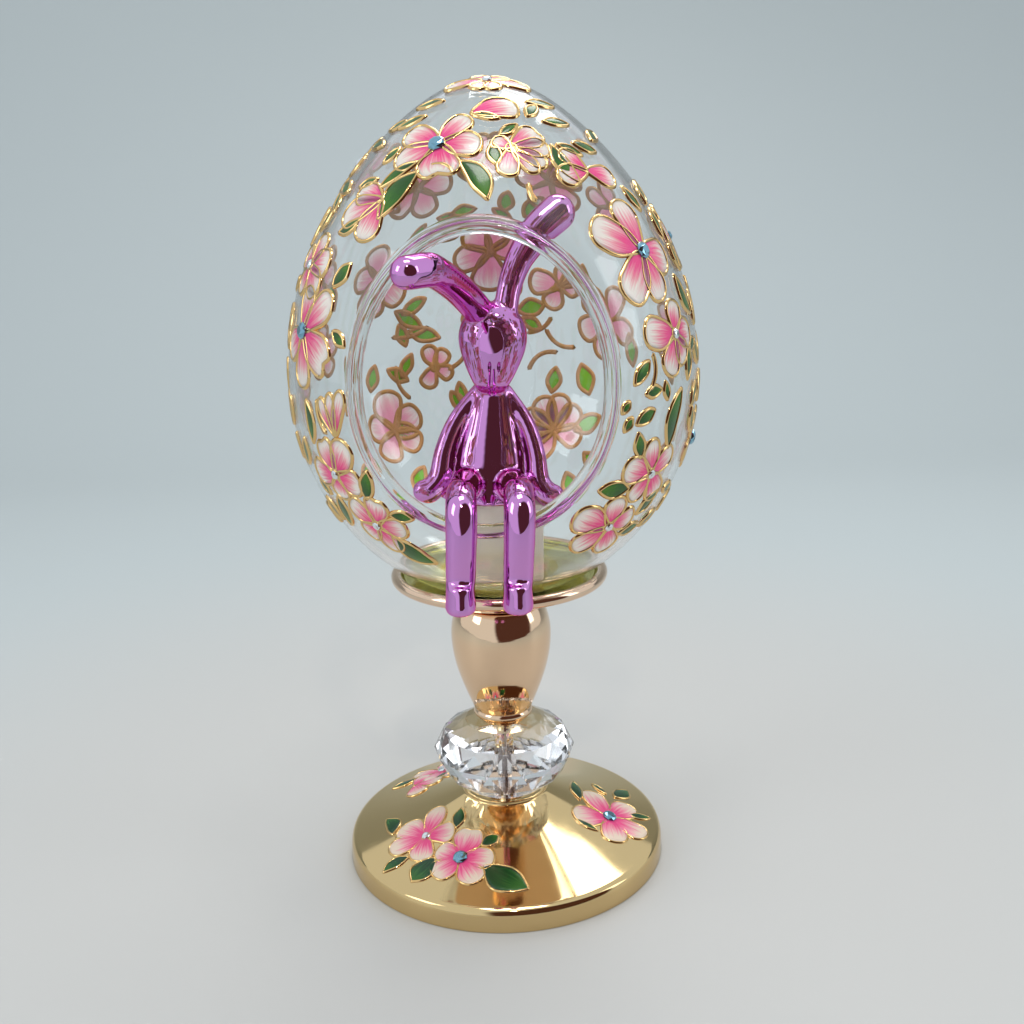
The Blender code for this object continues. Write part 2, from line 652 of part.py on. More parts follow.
clear_scene()
parts = make_collection("glass egg on stand")
helpers = make_collection("cutters")
make_base(parts)
make_rod(parts)
make_crystal(parts, helpers)
make_baluster(parts)
make_dish(parts)
make_egg(parts, helpers)
make_seat(parts)
make_rabbit(parts, helpers)
make_stones(parts)
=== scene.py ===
import math

import bmesh
import bpy
import numpy as np
from mathutils import Matrix, Vector


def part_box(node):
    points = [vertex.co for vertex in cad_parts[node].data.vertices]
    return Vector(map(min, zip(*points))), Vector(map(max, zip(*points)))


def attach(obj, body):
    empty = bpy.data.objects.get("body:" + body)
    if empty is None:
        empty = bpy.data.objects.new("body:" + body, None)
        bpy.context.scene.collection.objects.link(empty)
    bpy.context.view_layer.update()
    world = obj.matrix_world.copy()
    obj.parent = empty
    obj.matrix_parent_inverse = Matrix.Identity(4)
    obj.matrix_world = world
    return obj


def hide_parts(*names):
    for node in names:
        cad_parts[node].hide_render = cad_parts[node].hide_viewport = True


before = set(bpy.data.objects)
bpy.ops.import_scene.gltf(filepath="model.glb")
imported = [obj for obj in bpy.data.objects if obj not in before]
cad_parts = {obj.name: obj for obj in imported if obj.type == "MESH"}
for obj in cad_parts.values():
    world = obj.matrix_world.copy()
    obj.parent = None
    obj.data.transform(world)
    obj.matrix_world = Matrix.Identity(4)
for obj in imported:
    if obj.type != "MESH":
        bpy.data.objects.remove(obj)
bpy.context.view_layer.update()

# A clear glass egg on a plated stand, with a small plated rabbit sitting in its round opening.
# The script follows the ornament from its foot up. Metres, +Z up, the opening towards -Y.

scene = bpy.context.scene
MM = 0.001
NEAR_AXIS = 0.1 * MM


# Camera. It stands a forearm away, looks a little down at the egg, and is tipped slightly to one side.
CAMERA_PLACE = Vector((0.0, -0.3419, 0.2046))
CAMERA_YAW = math.radians(0.744)
CAMERA_DOWN = math.radians(14.883)
CAMERA_TIP = math.radians(-1.408)
CAMERA_LENS = 40.09

along = math.cos(CAMERA_DOWN)
ahead = Vector((along * math.sin(CAMERA_YAW), along * math.cos(CAMERA_YAW), -math.sin(CAMERA_DOWN)))
level = Vector((math.cos(CAMERA_YAW), -math.sin(CAMERA_YAW), 0))
over = level.cross(ahead)
across = level * math.cos(CAMERA_TIP) + over * math.sin(CAMERA_TIP)
upwards = over * math.cos(CAMERA_TIP) - level * math.sin(CAMERA_TIP)
camera = bpy.data.objects.new("camera", bpy.data.cameras.new("camera"))
camera.data.lens = CAMERA_LENS
camera.data.sensor_width = 36.0
camera.data.clip_start = 0.01
placed = Matrix((across, upwards, -ahead)).transposed().to_4x4()
placed.translation = CAMERA_PLACE
camera.matrix_world = placed
scene.collection.objects.link(camera)
scene.camera = camera


# Studio. A pale floor that sweeps up into a cool grey wall, wide soft lamps, and a dim side by the camera.
# The dim side shows only in reflections.
FLOOR_COLOUR = (0.50, 0.50, 0.485)
WALL_COLOUR = (0.47, 0.515, 0.52)
FLOOR_FRONT = -0.5
FLOOR_BACK = 0.55
SWEEP_RADIUS = 0.45
WALL_TOP = 0.75
FLOOR_HALF_WIDTH = 2.2
FLOOR_TO_WALL = (0.13, 0.42)
SKY_COLOUR = (0.86, 0.92, 0.98)
SKY_STRENGTH = 0.82
DIM_COLOUR = (0.10, 0.045, 0.035)
DIM_DIRECTION = (0.48, -0.83, 0.24)
DIM_EDGE = (0.68, 0.78)


def new_piece(name, points, faces):
    """An object with a smooth mesh of those points and faces."""
    mesh = bpy.data.meshes.new(name)
    mesh.from_pydata(points.reshape(-1, 3).tolist(), [], faces)
    mesh.shade_smooth()
    piece = bpy.data.objects.new(name, mesh)
    scene.collection.objects.link(piece)
    return piece


def sheet_mesh(name, grid):
    """A mesh over a grid of points, rows by columns, with a four-sided face between four neighbours."""
    rows, columns = grid.shape[:2]
    number = np.arange(rows * columns).reshape(rows, columns)
    quads = np.stack([number[:-1, :-1], number[:-1, 1:], number[1:, 1:], number[1:, :-1]], axis=-1)
    return new_piece(name, grid, quads.reshape(-1, 4).tolist())


def new_material(name, colour, roughness, **values):
    """A material whose one Principled shader has plain values, and its nodes and shader.
    The shader's inputs are named with _ for each space."""
    material = bpy.data.materials.new(name)
    material.use_nodes = True
    shader = material.node_tree.nodes["Principled BSDF"]
    shader.inputs["Base Color"].default_value = (*colour, 1.0)
    shader.inputs["Roughness"].default_value = roughness
    for key, value in values.items():
        shader.inputs[key.replace("_", " ")].default_value = value
    return material, material.node_tree, shader


def add_node(tree, kind, **values):
    """A node of that kind with the given properties. in_ and a name or a number sets that input instead."""
    node = tree.nodes.new(kind)
    for key, value in values.items():
        if key.startswith("in_"):
            entry = key[3:].replace("_", " ")
            node.inputs[int(entry) if entry.isdigit() else entry].default_value = value
        else:
            setattr(node, key, value)
    return node


def soft_step(tree, low, high):
    """A node that rises smoothly from 0 to 1 while its value goes from low to high."""
    values = {"interpolation_type": "SMOOTHSTEP", "in_From_Min": low, "in_From_Max": high}
    return add_node(tree, "ShaderNodeMapRange", **values)


def two_tones(tree, first, second):
    """A node that goes from the first colour to the second by its factor."""
    return add_node(tree, "ShaderNodeMix", data_type="RGBA", in_A=(*first, 1), in_B=(*second, 1))


def wire(tree, *joins):
    """Links nodes. Each join is a node, its output, the next node and that one's input."""
    for source, output, target, entry in joins:
        tree.links.new(source.outputs[output], target.inputs[entry])


def dress(piece, *materials):
    """Gives the piece these materials and no others."""
    piece.data.materials.clear()
    for material in materials:
        piece.data.materials.append(material)


sweep = [(FLOOR_FRONT, 0.0)]
for t in np.linspace(0, math.pi / 2, 16):
    sweep.append((FLOOR_BACK + SWEEP_RADIUS * math.sin(t), SWEEP_RADIUS * (1 - math.cos(t))))
sweep = np.array(sweep + [(FLOOR_BACK + SWEEP_RADIUS, WALL_TOP)])
sides = np.linspace(-FLOOR_HALF_WIDTH, FLOOR_HALF_WIDTH, 9)
floor_grid = np.zeros((len(sweep), len(sides), 3))
floor_grid[..., 0] = sides
floor_grid[..., 1] = sweep[:, :1]
floor_grid[..., 2] = sweep[:, 1:]
floor = sheet_mesh("floor", floor_grid)
floor_material, tree, shader = new_material("pale sweep", FLOOR_COLOUR, 0.55)
place = add_node(tree, "ShaderNodeTexCoord")
span = add_node(tree, "ShaderNodeVectorMath", operation="LENGTH")
ramp = soft_step(tree, *FLOOR_TO_WALL)
blend = two_tones(tree, FLOOR_COLOUR, WALL_COLOUR)
wire(tree, (place, "Object", span, 0), (span, "Value", ramp, "Value"))
wire(tree, (ramp, "Result", blend, "Factor"), (blend, "Result", shader, "Base Color"))
dress(floor, floor_material)

world = bpy.data.worlds.new("studio")
world.use_nodes = True
scene.world = world
tree = world.node_tree
background = tree.nodes["Background"]
direction = add_node(tree, "ShaderNodeTexCoord")
dim_middle = Vector(DIM_DIRECTION).normalized()
toward_dim = add_node(tree, "ShaderNodeVectorMath", operation="DOT_PRODUCT", in_1=dim_middle)
dim = soft_step(tree, *DIM_EDGE)
kind_of_ray = add_node(tree, "ShaderNodeLightPath")
mirrored = add_node(tree, "ShaderNodeMath", operation="MULTIPLY", use_clamp=True)
shade = two_tones(tree, SKY_COLOUR, DIM_COLOUR)
wire(tree, (direction, "Generated", toward_dim, 0), (toward_dim, "Value", dim, "Value"))
wire(tree, (dim, "Result", mirrored, 0), (kind_of_ray, "Glossy Depth", mirrored, 1))
wire(tree, (mirrored, "Value", shade, "Factor"), (shade, "Result", background, "Color"))
background.inputs["Strength"].default_value = SKY_STRENGTH

# Place, what it points at, width, height, power and colour of each lamp.
LAMPS = {
    "window_left": ((-1.1, -0.55, 0.75), (0, 0, 0.15), 0.5, 0.7, 2.6, (0.93, 0.97, 1.0)),
    "ceiling": ((0.05, -0.15, 1.25), (0, 0, 0.1), 0.50, 0.30, 4.2, (1.0, 0.98, 0.95)),
    "bulb": ((0.06, -0.80, 0.95), (0, 0, 0.1), 0.05, 0.05, 1.3, (1.0, 0.86, 0.68)),
    "back": ((0.15, 0.5, 0.85), (0, 0, 0.17), 0.5, 0.3, 2.0, (1.0, 1.0, 1.0)),
    "window_right": ((1.2, -0.2, 0.6), (0, 0, 0.15), 0.3, 0.7, 1.2, (0.95, 0.98, 1.0)),
}
for name, (spot, target, width, height, power, colour) in LAMPS.items():
    lamp = bpy.data.lights.new(name, "AREA")
    lamp.shape = "RECTANGLE"
    lamp.size, lamp.size_y = width, height
    lamp.energy = power
    lamp.color = colour
    holder = bpy.data.objects.new(name, lamp)
    holder.location = spot
    holder.rotation_euler = (Vector(target) - Vector(spot)).to_track_quat("-Z", "Y").to_euler()
    scene.collection.objects.link(holder)

scene.view_settings.view_transform = "Standard"
scene.cycles.use_denoising = True
scene.cycles.max_bounces = 20
scene.cycles.transmission_bounces = 16
scene.cycles.glossy_bounces = 8
scene.cycles.transparent_max_bounces = 12
scene.cycles.sample_clamp_indirect = 6.0


# Base. A low cone of cast metal on a short upright edge, turned, polished and plated in pale gold.
# It stands on its flat underside, and the rod rises from its collar.
BASE_RADIUS = 51.5 * MM
BASE_EDGE_HEIGHT = 5.3 * MM
BASE_SHOULDER_HEIGHT = 2.1 * MM
BASE_SHOULDER_INSET = 1.8 * MM
BASE_COLLAR_RADIUS = 13.8 * MM
BASE_COLLAR_HEIGHT = 1.2 * MM
BASE_HEIGHT = 21.7 * MM
BASE_HOLLOW = 0.8 * MM
BASE_ROUNDING = 0.5 * MM
BASE_SIDES = 160
BASE_GOLD = (0.77, 0.57, 0.28)


def skin(name, rings, loop=False):
    """A closed mesh over rings of points, rows by columns, with four-sided faces between neighbours.
    The first and last ring close to their own middles, or to each other where the rings run in a loop.
    Several such sets, all alike in number, become as many closed skins in the one mesh."""
    sets = rings if rings.ndim == 4 else rings[None]
    many, count, around = sets.shape[:3]
    number = np.arange(count * around).reshape(count, around)
    upper = number if loop else number[:-1]
    lower = np.roll(number, -1, axis=0) if loop else number[1:]
    beside = [np.roll(part, -1, axis=1) for part in (upper, lower)]
    quads = np.stack([upper, lower, beside[1], beside[0]], axis=-1).reshape(-1, 4)
    points = sets.reshape(many, -1, 3)
    fans = np.zeros((0, 3), int)
    if not loop:
        points = np.concatenate([points, sets[:, :1].mean(2), sets[:, -1:].mean(2)], axis=1)
        top, bottom = count * around, count * around + 1
        first, last = number[0], number[-1]
        fans = np.stack([np.full(around, top), first, np.roll(first, -1)], axis=-1)
        ends = np.stack([np.full(around, bottom), np.roll(last, -1), last], axis=-1)
        fans = np.concatenate([fans, ends])
    faces = []
    for step in range(many):
        faces += (quads + step * points.shape[1]).tolist() + (fans + step * points.shape[1]).tolist()
    return new_piece(name, points, faces)


def turned_rings(profile, sides):
    """The (radius, height) points of a profile, from the axis down the outer side, each spun about Z."""
    profile = np.array(profile)
    angles = np.linspace(0, math.tau, sides, endpoint=False)
    rings = np.empty((len(profile), sides, 3))
    rings[..., 0] = profile[:, :1] * np.cos(angles)
    rings[..., 1] = profile[:, :1] * np.sin(angles)
    rings[..., 2] = profile[:, 1:]
    return rings


def rounded(profile, radius, steps=5):
    """The profile with each corner cut by a small curve, a quadratic from side to side of the corner."""
    points = [np.array(profile[0])]
    for before, corner, after in zip(profile, profile[1:], profile[2:]):
        before, corner, after = np.array(before), np.array(corner), np.array(after)
        into, out = corner - before, after - corner
        reach = min(radius, 0.45 * np.linalg.norm(into), 0.45 * np.linalg.norm(out))
        start = corner - into / np.linalg.norm(into) * reach
        end = corner + out / np.linalg.norm(out) * reach
        for t in np.linspace(0, 1, steps):
            points.append((1 - t) ** 2 * start + 2 * t * (1 - t) * corner + t**2 * end)
    points.append(np.array(profile[-1]))
    return points


# Handling marks: faint smears of rougher metal, and the slight waviness that polishing leaves.
marks = bpy.data.node_groups.new("handling marks", "ShaderNodeTree")
for label, start in (("Polished", 0.04), ("Smeared", 0.16), ("Smear Size", 60.0), ("Wave", 0.02)):
    socket = marks.interface.new_socket(label, in_out="INPUT", socket_type="NodeSocketFloat")
    socket.default_value = start
marks.interface.new_socket("Roughness", in_out="OUTPUT", socket_type="NodeSocketFloat")
marks.interface.new_socket("Normal", in_out="OUTPUT", socket_type="NodeSocketVector")
given = add_node(marks, "NodeGroupInput")
result = add_node(marks, "NodeGroupOutput")
place = add_node(marks, "ShaderNodeTexCoord")
smear = add_node(marks, "ShaderNodeTexNoise", in_Detail=4.0, in_Roughness=0.6)
spread = soft_step(marks, 0.50, 0.78)
wave = add_node(marks, "ShaderNodeTexNoise", in_Scale=55.0, in_Detail=1.0)
bump = add_node(marks, "ShaderNodeBump", in_Distance=0.0004)
wire(marks, (place, "Object", smear, "Vector"), (given, "Smear Size", smear, "Scale"))
wire(marks, (smear, "Fac", spread, "Value"), (given, "Polished", spread, "To Min"))
wire(marks, (given, "Smeared", spread, "To Max"), (spread, "Result", result, "Roughness"))
wire(marks, (place, "Object", wave, "Vector"), (wave, "Fac", bump, "Height"))
wire(marks, (given, "Wave", bump, "Strength"), (bump, "Normal", result, "Normal"))


def plated(name, colour, polished, smeared, smear_size, wave):
    """Plated metal: a plain metallic colour, with the handling marks on its roughness and normal."""
    material, tree, shader = new_material(name, colour, polished, Metallic=1.0)
    values = {"in_Polished": polished, "in_Smeared": smeared, "in_Smear_Size": smear_size, "in_Wave": wave}
    group = add_node(tree, "ShaderNodeGroup", node_tree=marks, **values)
    wire(tree, (group, "Roughness", shader, "Roughness"), (group, "Normal", shader, "Normal"))
    return material, tree, shader


def base_slope(share):
    """The (radius, height) of the base's cone at a share of its slope: a straight line less a half sine."""
    low_radius = BASE_RADIUS - BASE_SHOULDER_INSET
    low_height = BASE_EDGE_HEIGHT + BASE_SHOULDER_HEIGHT
    high_height = BASE_HEIGHT - BASE_COLLAR_HEIGHT
    radius = low_radius + (BASE_COLLAR_RADIUS - low_radius) * share
    return radius, low_height + (high_height - low_height) * share - BASE_HOLLOW * np.sin(np.pi * share)


shoulder = BASE_EDGE_HEIGHT + BASE_SHOULDER_HEIGHT
profile = [(NEAR_AXIS, BASE_HEIGHT), (BASE_COLLAR_RADIUS, BASE_HEIGHT)]
profile += [base_slope(share) for share in np.linspace(1.0, 0.0, 24)]
profile += [(BASE_RADIUS - 0.45 * BASE_SHOULDER_INSET, shoulder - 0.3 * BASE_SHOULDER_HEIGHT)]
profile += [(BASE_RADIUS - 0.15 * BASE_SHOULDER_INSET, BASE_EDGE_HEIGHT), (BASE_RADIUS, 0.0)]
profile += [(NEAR_AXIS, 0.0)]
base = skin("base_turned", turned_rings(rounded(profile, BASE_ROUNDING), BASE_SIDES))
gold_plating, _, _ = plated(
    "pale gold plating", BASE_GOLD, polished=0.07, smeared=0.15, smear_size=45.0, wave=0.05
)
dress(base, gold_plating)
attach(base, "root")
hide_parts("base")


# Rod and crystal. A steel rod runs through a clear crystal bead that is cut into flat facets and polished.
# Both are the CAD's own shapes, with their finish added.
ROD_STEEL = (0.42, 0.38, 0.37)
CRYSTAL_COLOUR = (0.98, 0.98, 1.0)

steel, _, _ = plated("rod steel", ROD_STEEL, polished=0.25, smeared=0.45, smear_size=200.0, wave=0.05)
dress(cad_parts["stem_rod"], steel)
crystal, _, _ = new_material("cut crystal", CRYSTAL_COLOUR, 0.05, Transmission_Weight=1.0, IOR=1.50)
dress(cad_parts["crystal_ball"], crystal)


# Baluster. A turned bulb on a narrow neck and beaded foot, polished and plated in rose gold. It sits on the
# crystal and carries the dish.
STEM_GAP = 0.3 * MM
CRYSTAL_HEIGHT = 22.8 * MM
BALUSTER_HEIGHT = 39.5 * MM
BALUSTER_RADIUS = 15.9 * MM
BALUSTER_TOP_RADIUS = 13.4 * MM
BALUSTER_NECK_RADIUS = 9.3 * MM
BALUSTER_FOOT_RADIUS = 7.3 * MM
BALUSTER_FOOT_HEIGHT = 1.4 * MM
BALUSTER_BEAD_HEIGHT = 3.0 * MM
BALUSTER_WIDEST = 0.71
BALUSTER_WAIST = 0.94
BALUSTER_BEAD = 1.02
BALUSTER_ROUNDING = 0.25 * MM
BALUSTER_SIDES = 128
ROSE_GOLD = (0.90, 0.65, 0.44)

baluster_bottom = BASE_HEIGHT + STEM_GAP + CRYSTAL_HEIGHT + STEM_GAP
baluster_top = baluster_bottom + BALUSTER_HEIGHT
foot_top = baluster_bottom + BALUSTER_FOOT_HEIGHT
neck = foot_top + BALUSTER_BEAD_HEIGHT
widest = neck + BALUSTER_WIDEST * (baluster_top - neck)
close = math.acos(BALUSTER_TOP_RADIUS / BALUSTER_RADIUS)
profile = [(NEAR_AXIS, baluster_top)]
for share in np.linspace(1.0, 0.1, 10):
    height = widest + (baluster_top - widest) * math.sin(close * share) / math.sin(close)
    profile.append((BALUSTER_RADIUS * math.cos(close * share), height))
for share in np.linspace(1.0, 0.0, 24):
    swell = math.sin(math.pi / 2 * share)
    radius = BALUSTER_NECK_RADIUS + (BALUSTER_RADIUS - BALUSTER_NECK_RADIUS) * swell
    profile.append((radius, neck + (widest - neck) * share))
waist = BALUSTER_WAIST * BALUSTER_NECK_RADIUS
for t in np.linspace(0.9, 0.1, 9):
    bulge = waist + (BALUSTER_NECK_RADIUS * BALUSTER_BEAD - waist) * math.sin(math.pi * t)
    profile.append((bulge, foot_top + BALUSTER_BEAD_HEIGHT * t))
profile += [(waist, foot_top), (BALUSTER_FOOT_RADIUS, foot_top), (BALUSTER_FOOT_RADIUS, baluster_bottom)]
profile += [(NEAR_AXIS, baluster_bottom)]
profile = rounded(profile, BALUSTER_ROUNDING, 3)
baluster = skin("baluster_turned", turned_rings(profile, BALUSTER_SIDES))
rose_plating, _, _ = plated(
    "rose gold plating", ROSE_GOLD, polished=0.06, smeared=0.13, smear_size=70.0, wave=0.04
)
dress(baluster, rose_plating)
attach(baluster, "root")
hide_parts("baluster")


# Dish. A shallow pan with a rolled rim, plated outside. Its polished inside looks olive.
# The egg rests in it on a hollow seat that has the egg's own curve.
DISH_RADIUS = 33.9 * MM
DISH_RIM_RADIUS = 1.8 * MM
DISH_FOOT_RADIUS = 12.0 * MM
DISH_FLOOR = 3.8 * MM
DISH_RIM_RISE = 5.9 * MM
DISH_SEAT_RADIUS = 12.0 * MM
DISH_SIDES = 144
DISH_OUTSIDE = (0.88, 0.64, 0.46)
DISH_INSIDE = (0.56, 0.52, 0.12)
EGG_RADIUS = 60.5 * MM
EGG_LOWER_HEIGHT = 67.4 * MM

dish_bottom = baluster_top + STEM_GAP
dish_floor = dish_bottom + DISH_FLOOR
rim_middle = dish_floor + DISH_RIM_RISE
rim_centre = DISH_RADIUS - DISH_RIM_RADIUS


def rim_point(degrees):
    """A (radius, height) on the rolled rim, a circle about its middle, from outwards and level."""
    turned = math.radians(degrees)
    return rim_centre + DISH_RIM_RADIUS * math.cos(turned), rim_middle + DISH_RIM_RADIUS * math.sin(turned)


profile = []
for radius in np.linspace(NEAR_AXIS, DISH_SEAT_RADIUS, 10):
    sunk = math.sqrt(1 - (radius / EGG_RADIUS) ** 2)
    profile.append((radius, dish_floor + EGG_LOWER_HEIGHT * (1 - sunk)))
inner = rim_point(195)
for t in np.linspace(0.1, 0.92, 10):
    profile.append(tuple((1 - t) * np.array(profile[9]) + t * np.array(inner)))
inside_count = len(profile) + 6
profile += [rim_point(degrees) for degrees in np.linspace(195, -80, 26)]
under = rim_middle - DISH_RIM_RADIUS
for share in np.linspace(0.95, 0.0, 16):
    radius = DISH_FOOT_RADIUS + (rim_centre - DISH_FOOT_RADIUS) * share
    profile.append((radius, dish_bottom + (under - dish_bottom) * share**1.15))
profile.append((NEAR_AXIS, dish_bottom))
dish = skin("dish_turned", turned_rings(profile, DISH_SIDES))
inside = np.zeros(len(dish.data.vertices), np.float32)
inside[: inside_count * DISH_SIDES] = 1.0
inside[-2] = 1.0
dish.data.attributes.new("inside", "FLOAT", "POINT").data.foreach_set("value", inside)
dish_material, tree, shader = plated(
    "dish plating", ROSE_GOLD, polished=0.07, smeared=0.16, smear_size=60.0, wave=0.05
)
mask = add_node(tree, "ShaderNodeAttribute", attribute_name="inside")
tone = two_tones(tree, DISH_OUTSIDE, DISH_INSIDE)
wire(tree, (mask, "Fac", tone, "Factor"), (tone, "Result", shader, "Base Color"))
dress(dish, dish_material)
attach(dish, "root")
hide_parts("dish")


# Egg. Blown clear glass with an even wall. The front is cut off flat and fire-polished to a thick round lip.
# Lamp light passes straight through it, as it does through so thin a wall.
EGG_UPPER_HEIGHT = 84.0 * MM
EGG_TAPER = 0.25
EGG_TAPER_POWER = 2.4
GLASS_WALL = 1.8 * MM
MOUTH_WIDTH = 69.0 * MM
MOUTH_TURN = math.radians(3.4)
MOUTH_TILT = math.radians(2.6)
LIP_RADIUS = 1.8 * MM
EGG_AROUND = 224
EGG_RINGS = 96
LIP_STEPS = 28
GLASS_COLOUR = (0.985, 0.995, 0.99)

egg_bottom = dish_floor + STEM_GAP
egg_middle = np.array((0, 0, egg_bottom + EGG_LOWER_HEIGHT))
mouth_distance = math.sqrt(EGG_RADIUS**2 - (MOUTH_WIDTH / 2) ** 2)
mouth_flat = math.cos(MOUTH_TILT)
mouth_out = np.array(
    (-math.sin(MOUTH_TURN) * mouth_flat, -math.cos(MOUTH_TURN) * mouth_flat, math.sin(MOUTH_TILT))
)
mouth_side = np.cross((0, 0, 1), mouth_out)
mouth_side /= np.linalg.norm(mouth_side)
mouth_up = np.cross(mouth_out, mouth_side)
mouth_centre = egg_middle + mouth_out * mouth_distance


def egg_square(rise, inset=0.0):
    """The square of the egg's radius at a rise over its widest ring: an ellipse, tapered above it."""
    share = np.where(rise > 0, rise / (EGG_UPPER_HEIGHT - inset), -rise / (EGG_LOWER_HEIGHT - inset))
    taper = np.where(rise > 0, 1 - EGG_TAPER * np.abs(share) ** EGG_TAPER_POWER, 1.0)
    return (EGG_RADIUS - inset) ** 2 * (1 - share**2) * taper**2


def furthest_within(within, far, many, rounds):
    """How far along each of many lines a test still holds, up to a far end, found by halving."""
    near, far = np.zeros(many), np.full(many, far)
    for _ in range(rounds):
        half = (near + far) / 2
        holds = within(half)
        near, far = np.where(holds, half, near), np.where(holds, far, half)
    return near


def onto_egg(points, inset=0.0):
    """Each point moved along its line from the egg's middle until it lies on the wall."""
    lines = points - egg_middle
    lines = lines / np.linalg.norm(lines, axis=-1, keepdims=True)
    flat = (lines[..., :2] ** 2).sum(-1)

    def within(reach):
        return flat * reach**2 < egg_square(reach * lines[..., 2], inset)

    return egg_middle + furthest_within(within, 1.2 * EGG_UPPER_HEIGHT, flat.shape, 36)[..., None] * lines


def egg_normal(points):
    """The outward direction of the egg's wall, from the slope of its squared radius."""
    rise = points[..., 2] - egg_middle[2]
    slope = (egg_square(rise + 0.01 * MM) - egg_square(rise - 0.01 * MM)) / (0.02 * MM)
    normal = np.stack([2 * points[..., 0], 2 * points[..., 1], -slope], axis=-1)
    return normal / np.linalg.norm(normal, axis=-1, keepdims=True)


def lip_line(around):
    """Points where the opening's plane meets the middle of the wall, along lines from its centre."""
    angles = np.linspace(0, math.tau, around, endpoint=False)
    outward = np.cos(angles)[:, None] * mouth_side + np.sin(angles)[:, None] * mouth_up

    def within(reach):
        spot = mouth_centre + reach[:, None] * outward
        return (spot[:, :2] ** 2).sum(-1) < egg_square(spot[:, 2] - egg_middle[2], GLASS_WALL / 2)

    return mouth_centre + furthest_within(within, 1.5 * EGG_UPPER_HEIGHT, around, 40)[:, None] * outward


def lip_rings(around, steps):
    """The lip's bead: at each point of its line, an arc from the outer face over the front to the inner."""
    line = lip_line(around)
    wall = egg_normal(line)
    along = np.cross(np.roll(line, -1, axis=0) - np.roll(line, 1, axis=0), wall)
    along /= np.linalg.norm(along, axis=-1, keepdims=True)
    along *= np.sign((along * mouth_out).sum(-1))[:, None]
    start = math.pi - math.asin(GLASS_WALL / 2 / LIP_RADIUS)
    arc = np.linspace(start, -start, steps)
    return line + LIP_RADIUS * (np.cos(arc)[:, None, None] * along + np.sin(arc)[:, None, None] * wall)


def face_rings(edge, inset, steps):
    """Rings over one face of the wall, evenly spaced from the bead to the point opposite the opening."""
    lines = edge - egg_middle
    first = np.arccos((lines @ mouth_out) / np.linalg.norm(lines, axis=-1))
    sideways = lines - (lines @ mouth_out)[:, None] * mouth_out
    sideways /= np.linalg.norm(sideways, axis=-1, keepdims=True)
    share = np.linspace(0, 1, steps + 1)[1:-1, None]
    angle = (first + (math.pi - first) * share)[..., None]
    return onto_egg(egg_middle + np.cos(angle) * mouth_out + np.sin(angle) * sideways, inset)


bead = lip_rings(EGG_AROUND, LIP_STEPS)
outer = face_rings(bead[0], 0.0, EGG_RINGS)
inner = face_rings(bead[-1], GLASS_WALL, EGG_RINGS)
egg = skin("egg_glass", np.concatenate([inner[::-1], bead[::-1], outer]))
glass, tree, shader = new_material("blown glass", GLASS_COLOUR, 0.0, Transmission_Weight=1.0, IOR=1.46)
through = add_node(tree, "ShaderNodeBsdfTransparent")
kind_of_ray = add_node(tree, "ShaderNodeLightPath")
lit_through = add_node(tree, "ShaderNodeMixShader")
surface = tree.nodes["Material Output"]
wire(tree, (kind_of_ray, "Is Shadow Ray", lit_through, "Fac"), (shader, "BSDF", lit_through, 1))
wire(tree, (through, "BSDF", lit_through, 2), (lit_through, "Shader", surface, "Surface"))
dress(egg, glass)
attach(egg, "root")
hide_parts("egg_shell")


# Seat block. A small block of frosted resin in the egg's bottom, which the rabbit sits on.
# It is the CAD's own shape, with a cloudy finish added.
RESIN_COLOUR = (0.84, 0.76, 0.68)
RESIN_DARK, RESIN_LIGHT = (0.78, 0.69, 0.60), (0.94, 0.87, 0.80)

resin, tree, shader = new_material("frosted resin", RESIN_COLOUR, 0.45, Transmission_Weight=0.5)
place = add_node(tree, "ShaderNodeTexCoord")
cloud = add_node(tree, "ShaderNodeTexNoise", in_Scale=160.0, in_Detail=3.0)
tone = two_tones(tree, RESIN_DARK, RESIN_LIGHT)
frost = add_node(tree, "ShaderNodeBump", in_Strength=0.25, in_Distance=0.0003)
wire(tree, (place, "Object", cloud, "Vector"), (cloud, "Fac", tone, "Factor"))
wire(tree, (tone, "Result", shader, "Base Color"), (cloud, "Fac", frost, "Height"))
wire(tree, (frost, "Normal", shader, "Normal"))
dress(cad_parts["seat_block"], resin)


# Rabbit. One hollow casting with all its parts run together, polished and plated in tinted chrome.
# It sits on the block with its legs over the lip. Its forms are given in hundredths of its height.
RABBIT_HEIGHT = 88.5 * MM
RABBIT_SIDEWAYS = -2.7 * MM
RABBIT_FORWARD = 4.0 * MM
RABBIT_LEAN = math.radians(3.6)
LEG_RADIUS = 4.1 * MM
LEG_LENGTH = 33.3 * MM
FOOT_HEIGHT = 8.0 * MM
LEG_SPREAD = 14.9 * MM
LEG_SIDEWAYS = 0.8 * MM
LEG_TOE_OUT = 0.9 * MM
LEG_CLEARANCE = 3.0 * MM
UNLIKE_ANY_LIMB = (0.31, 0.87, 0.38)
EAR_RADIUS = 4.2 * MM
EAR_CLEARANCE = 1.4 * MM
BODY_DEPTH = 0.80
HEAD_DEPTH = 0.95
HEAD_NOD = -0.22
RABBIT_VOXEL = 0.55 * MM
RABBIT_SOFTENING = 14
SLIT_SIZE = (0.62, 1.5, 1.9)
SLIT_VOXEL = 0.1 * MM
RABBIT_COLOUR = (0.74, 0.33, 0.74)
RABBIT_GLANCE = (1.0, 0.40, 0.70)

unit = RABBIT_HEIGHT / 100
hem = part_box("seat_block")[1].z + STEM_GAP
figure_place = np.array(
    Matrix.Translation((RABBIT_SIDEWAYS, -RABBIT_FORWARD, hem))
    @ Matrix.Rotation(RABBIT_LEAN, 4, "Y")
    @ Matrix.Scale(unit, 4)
)


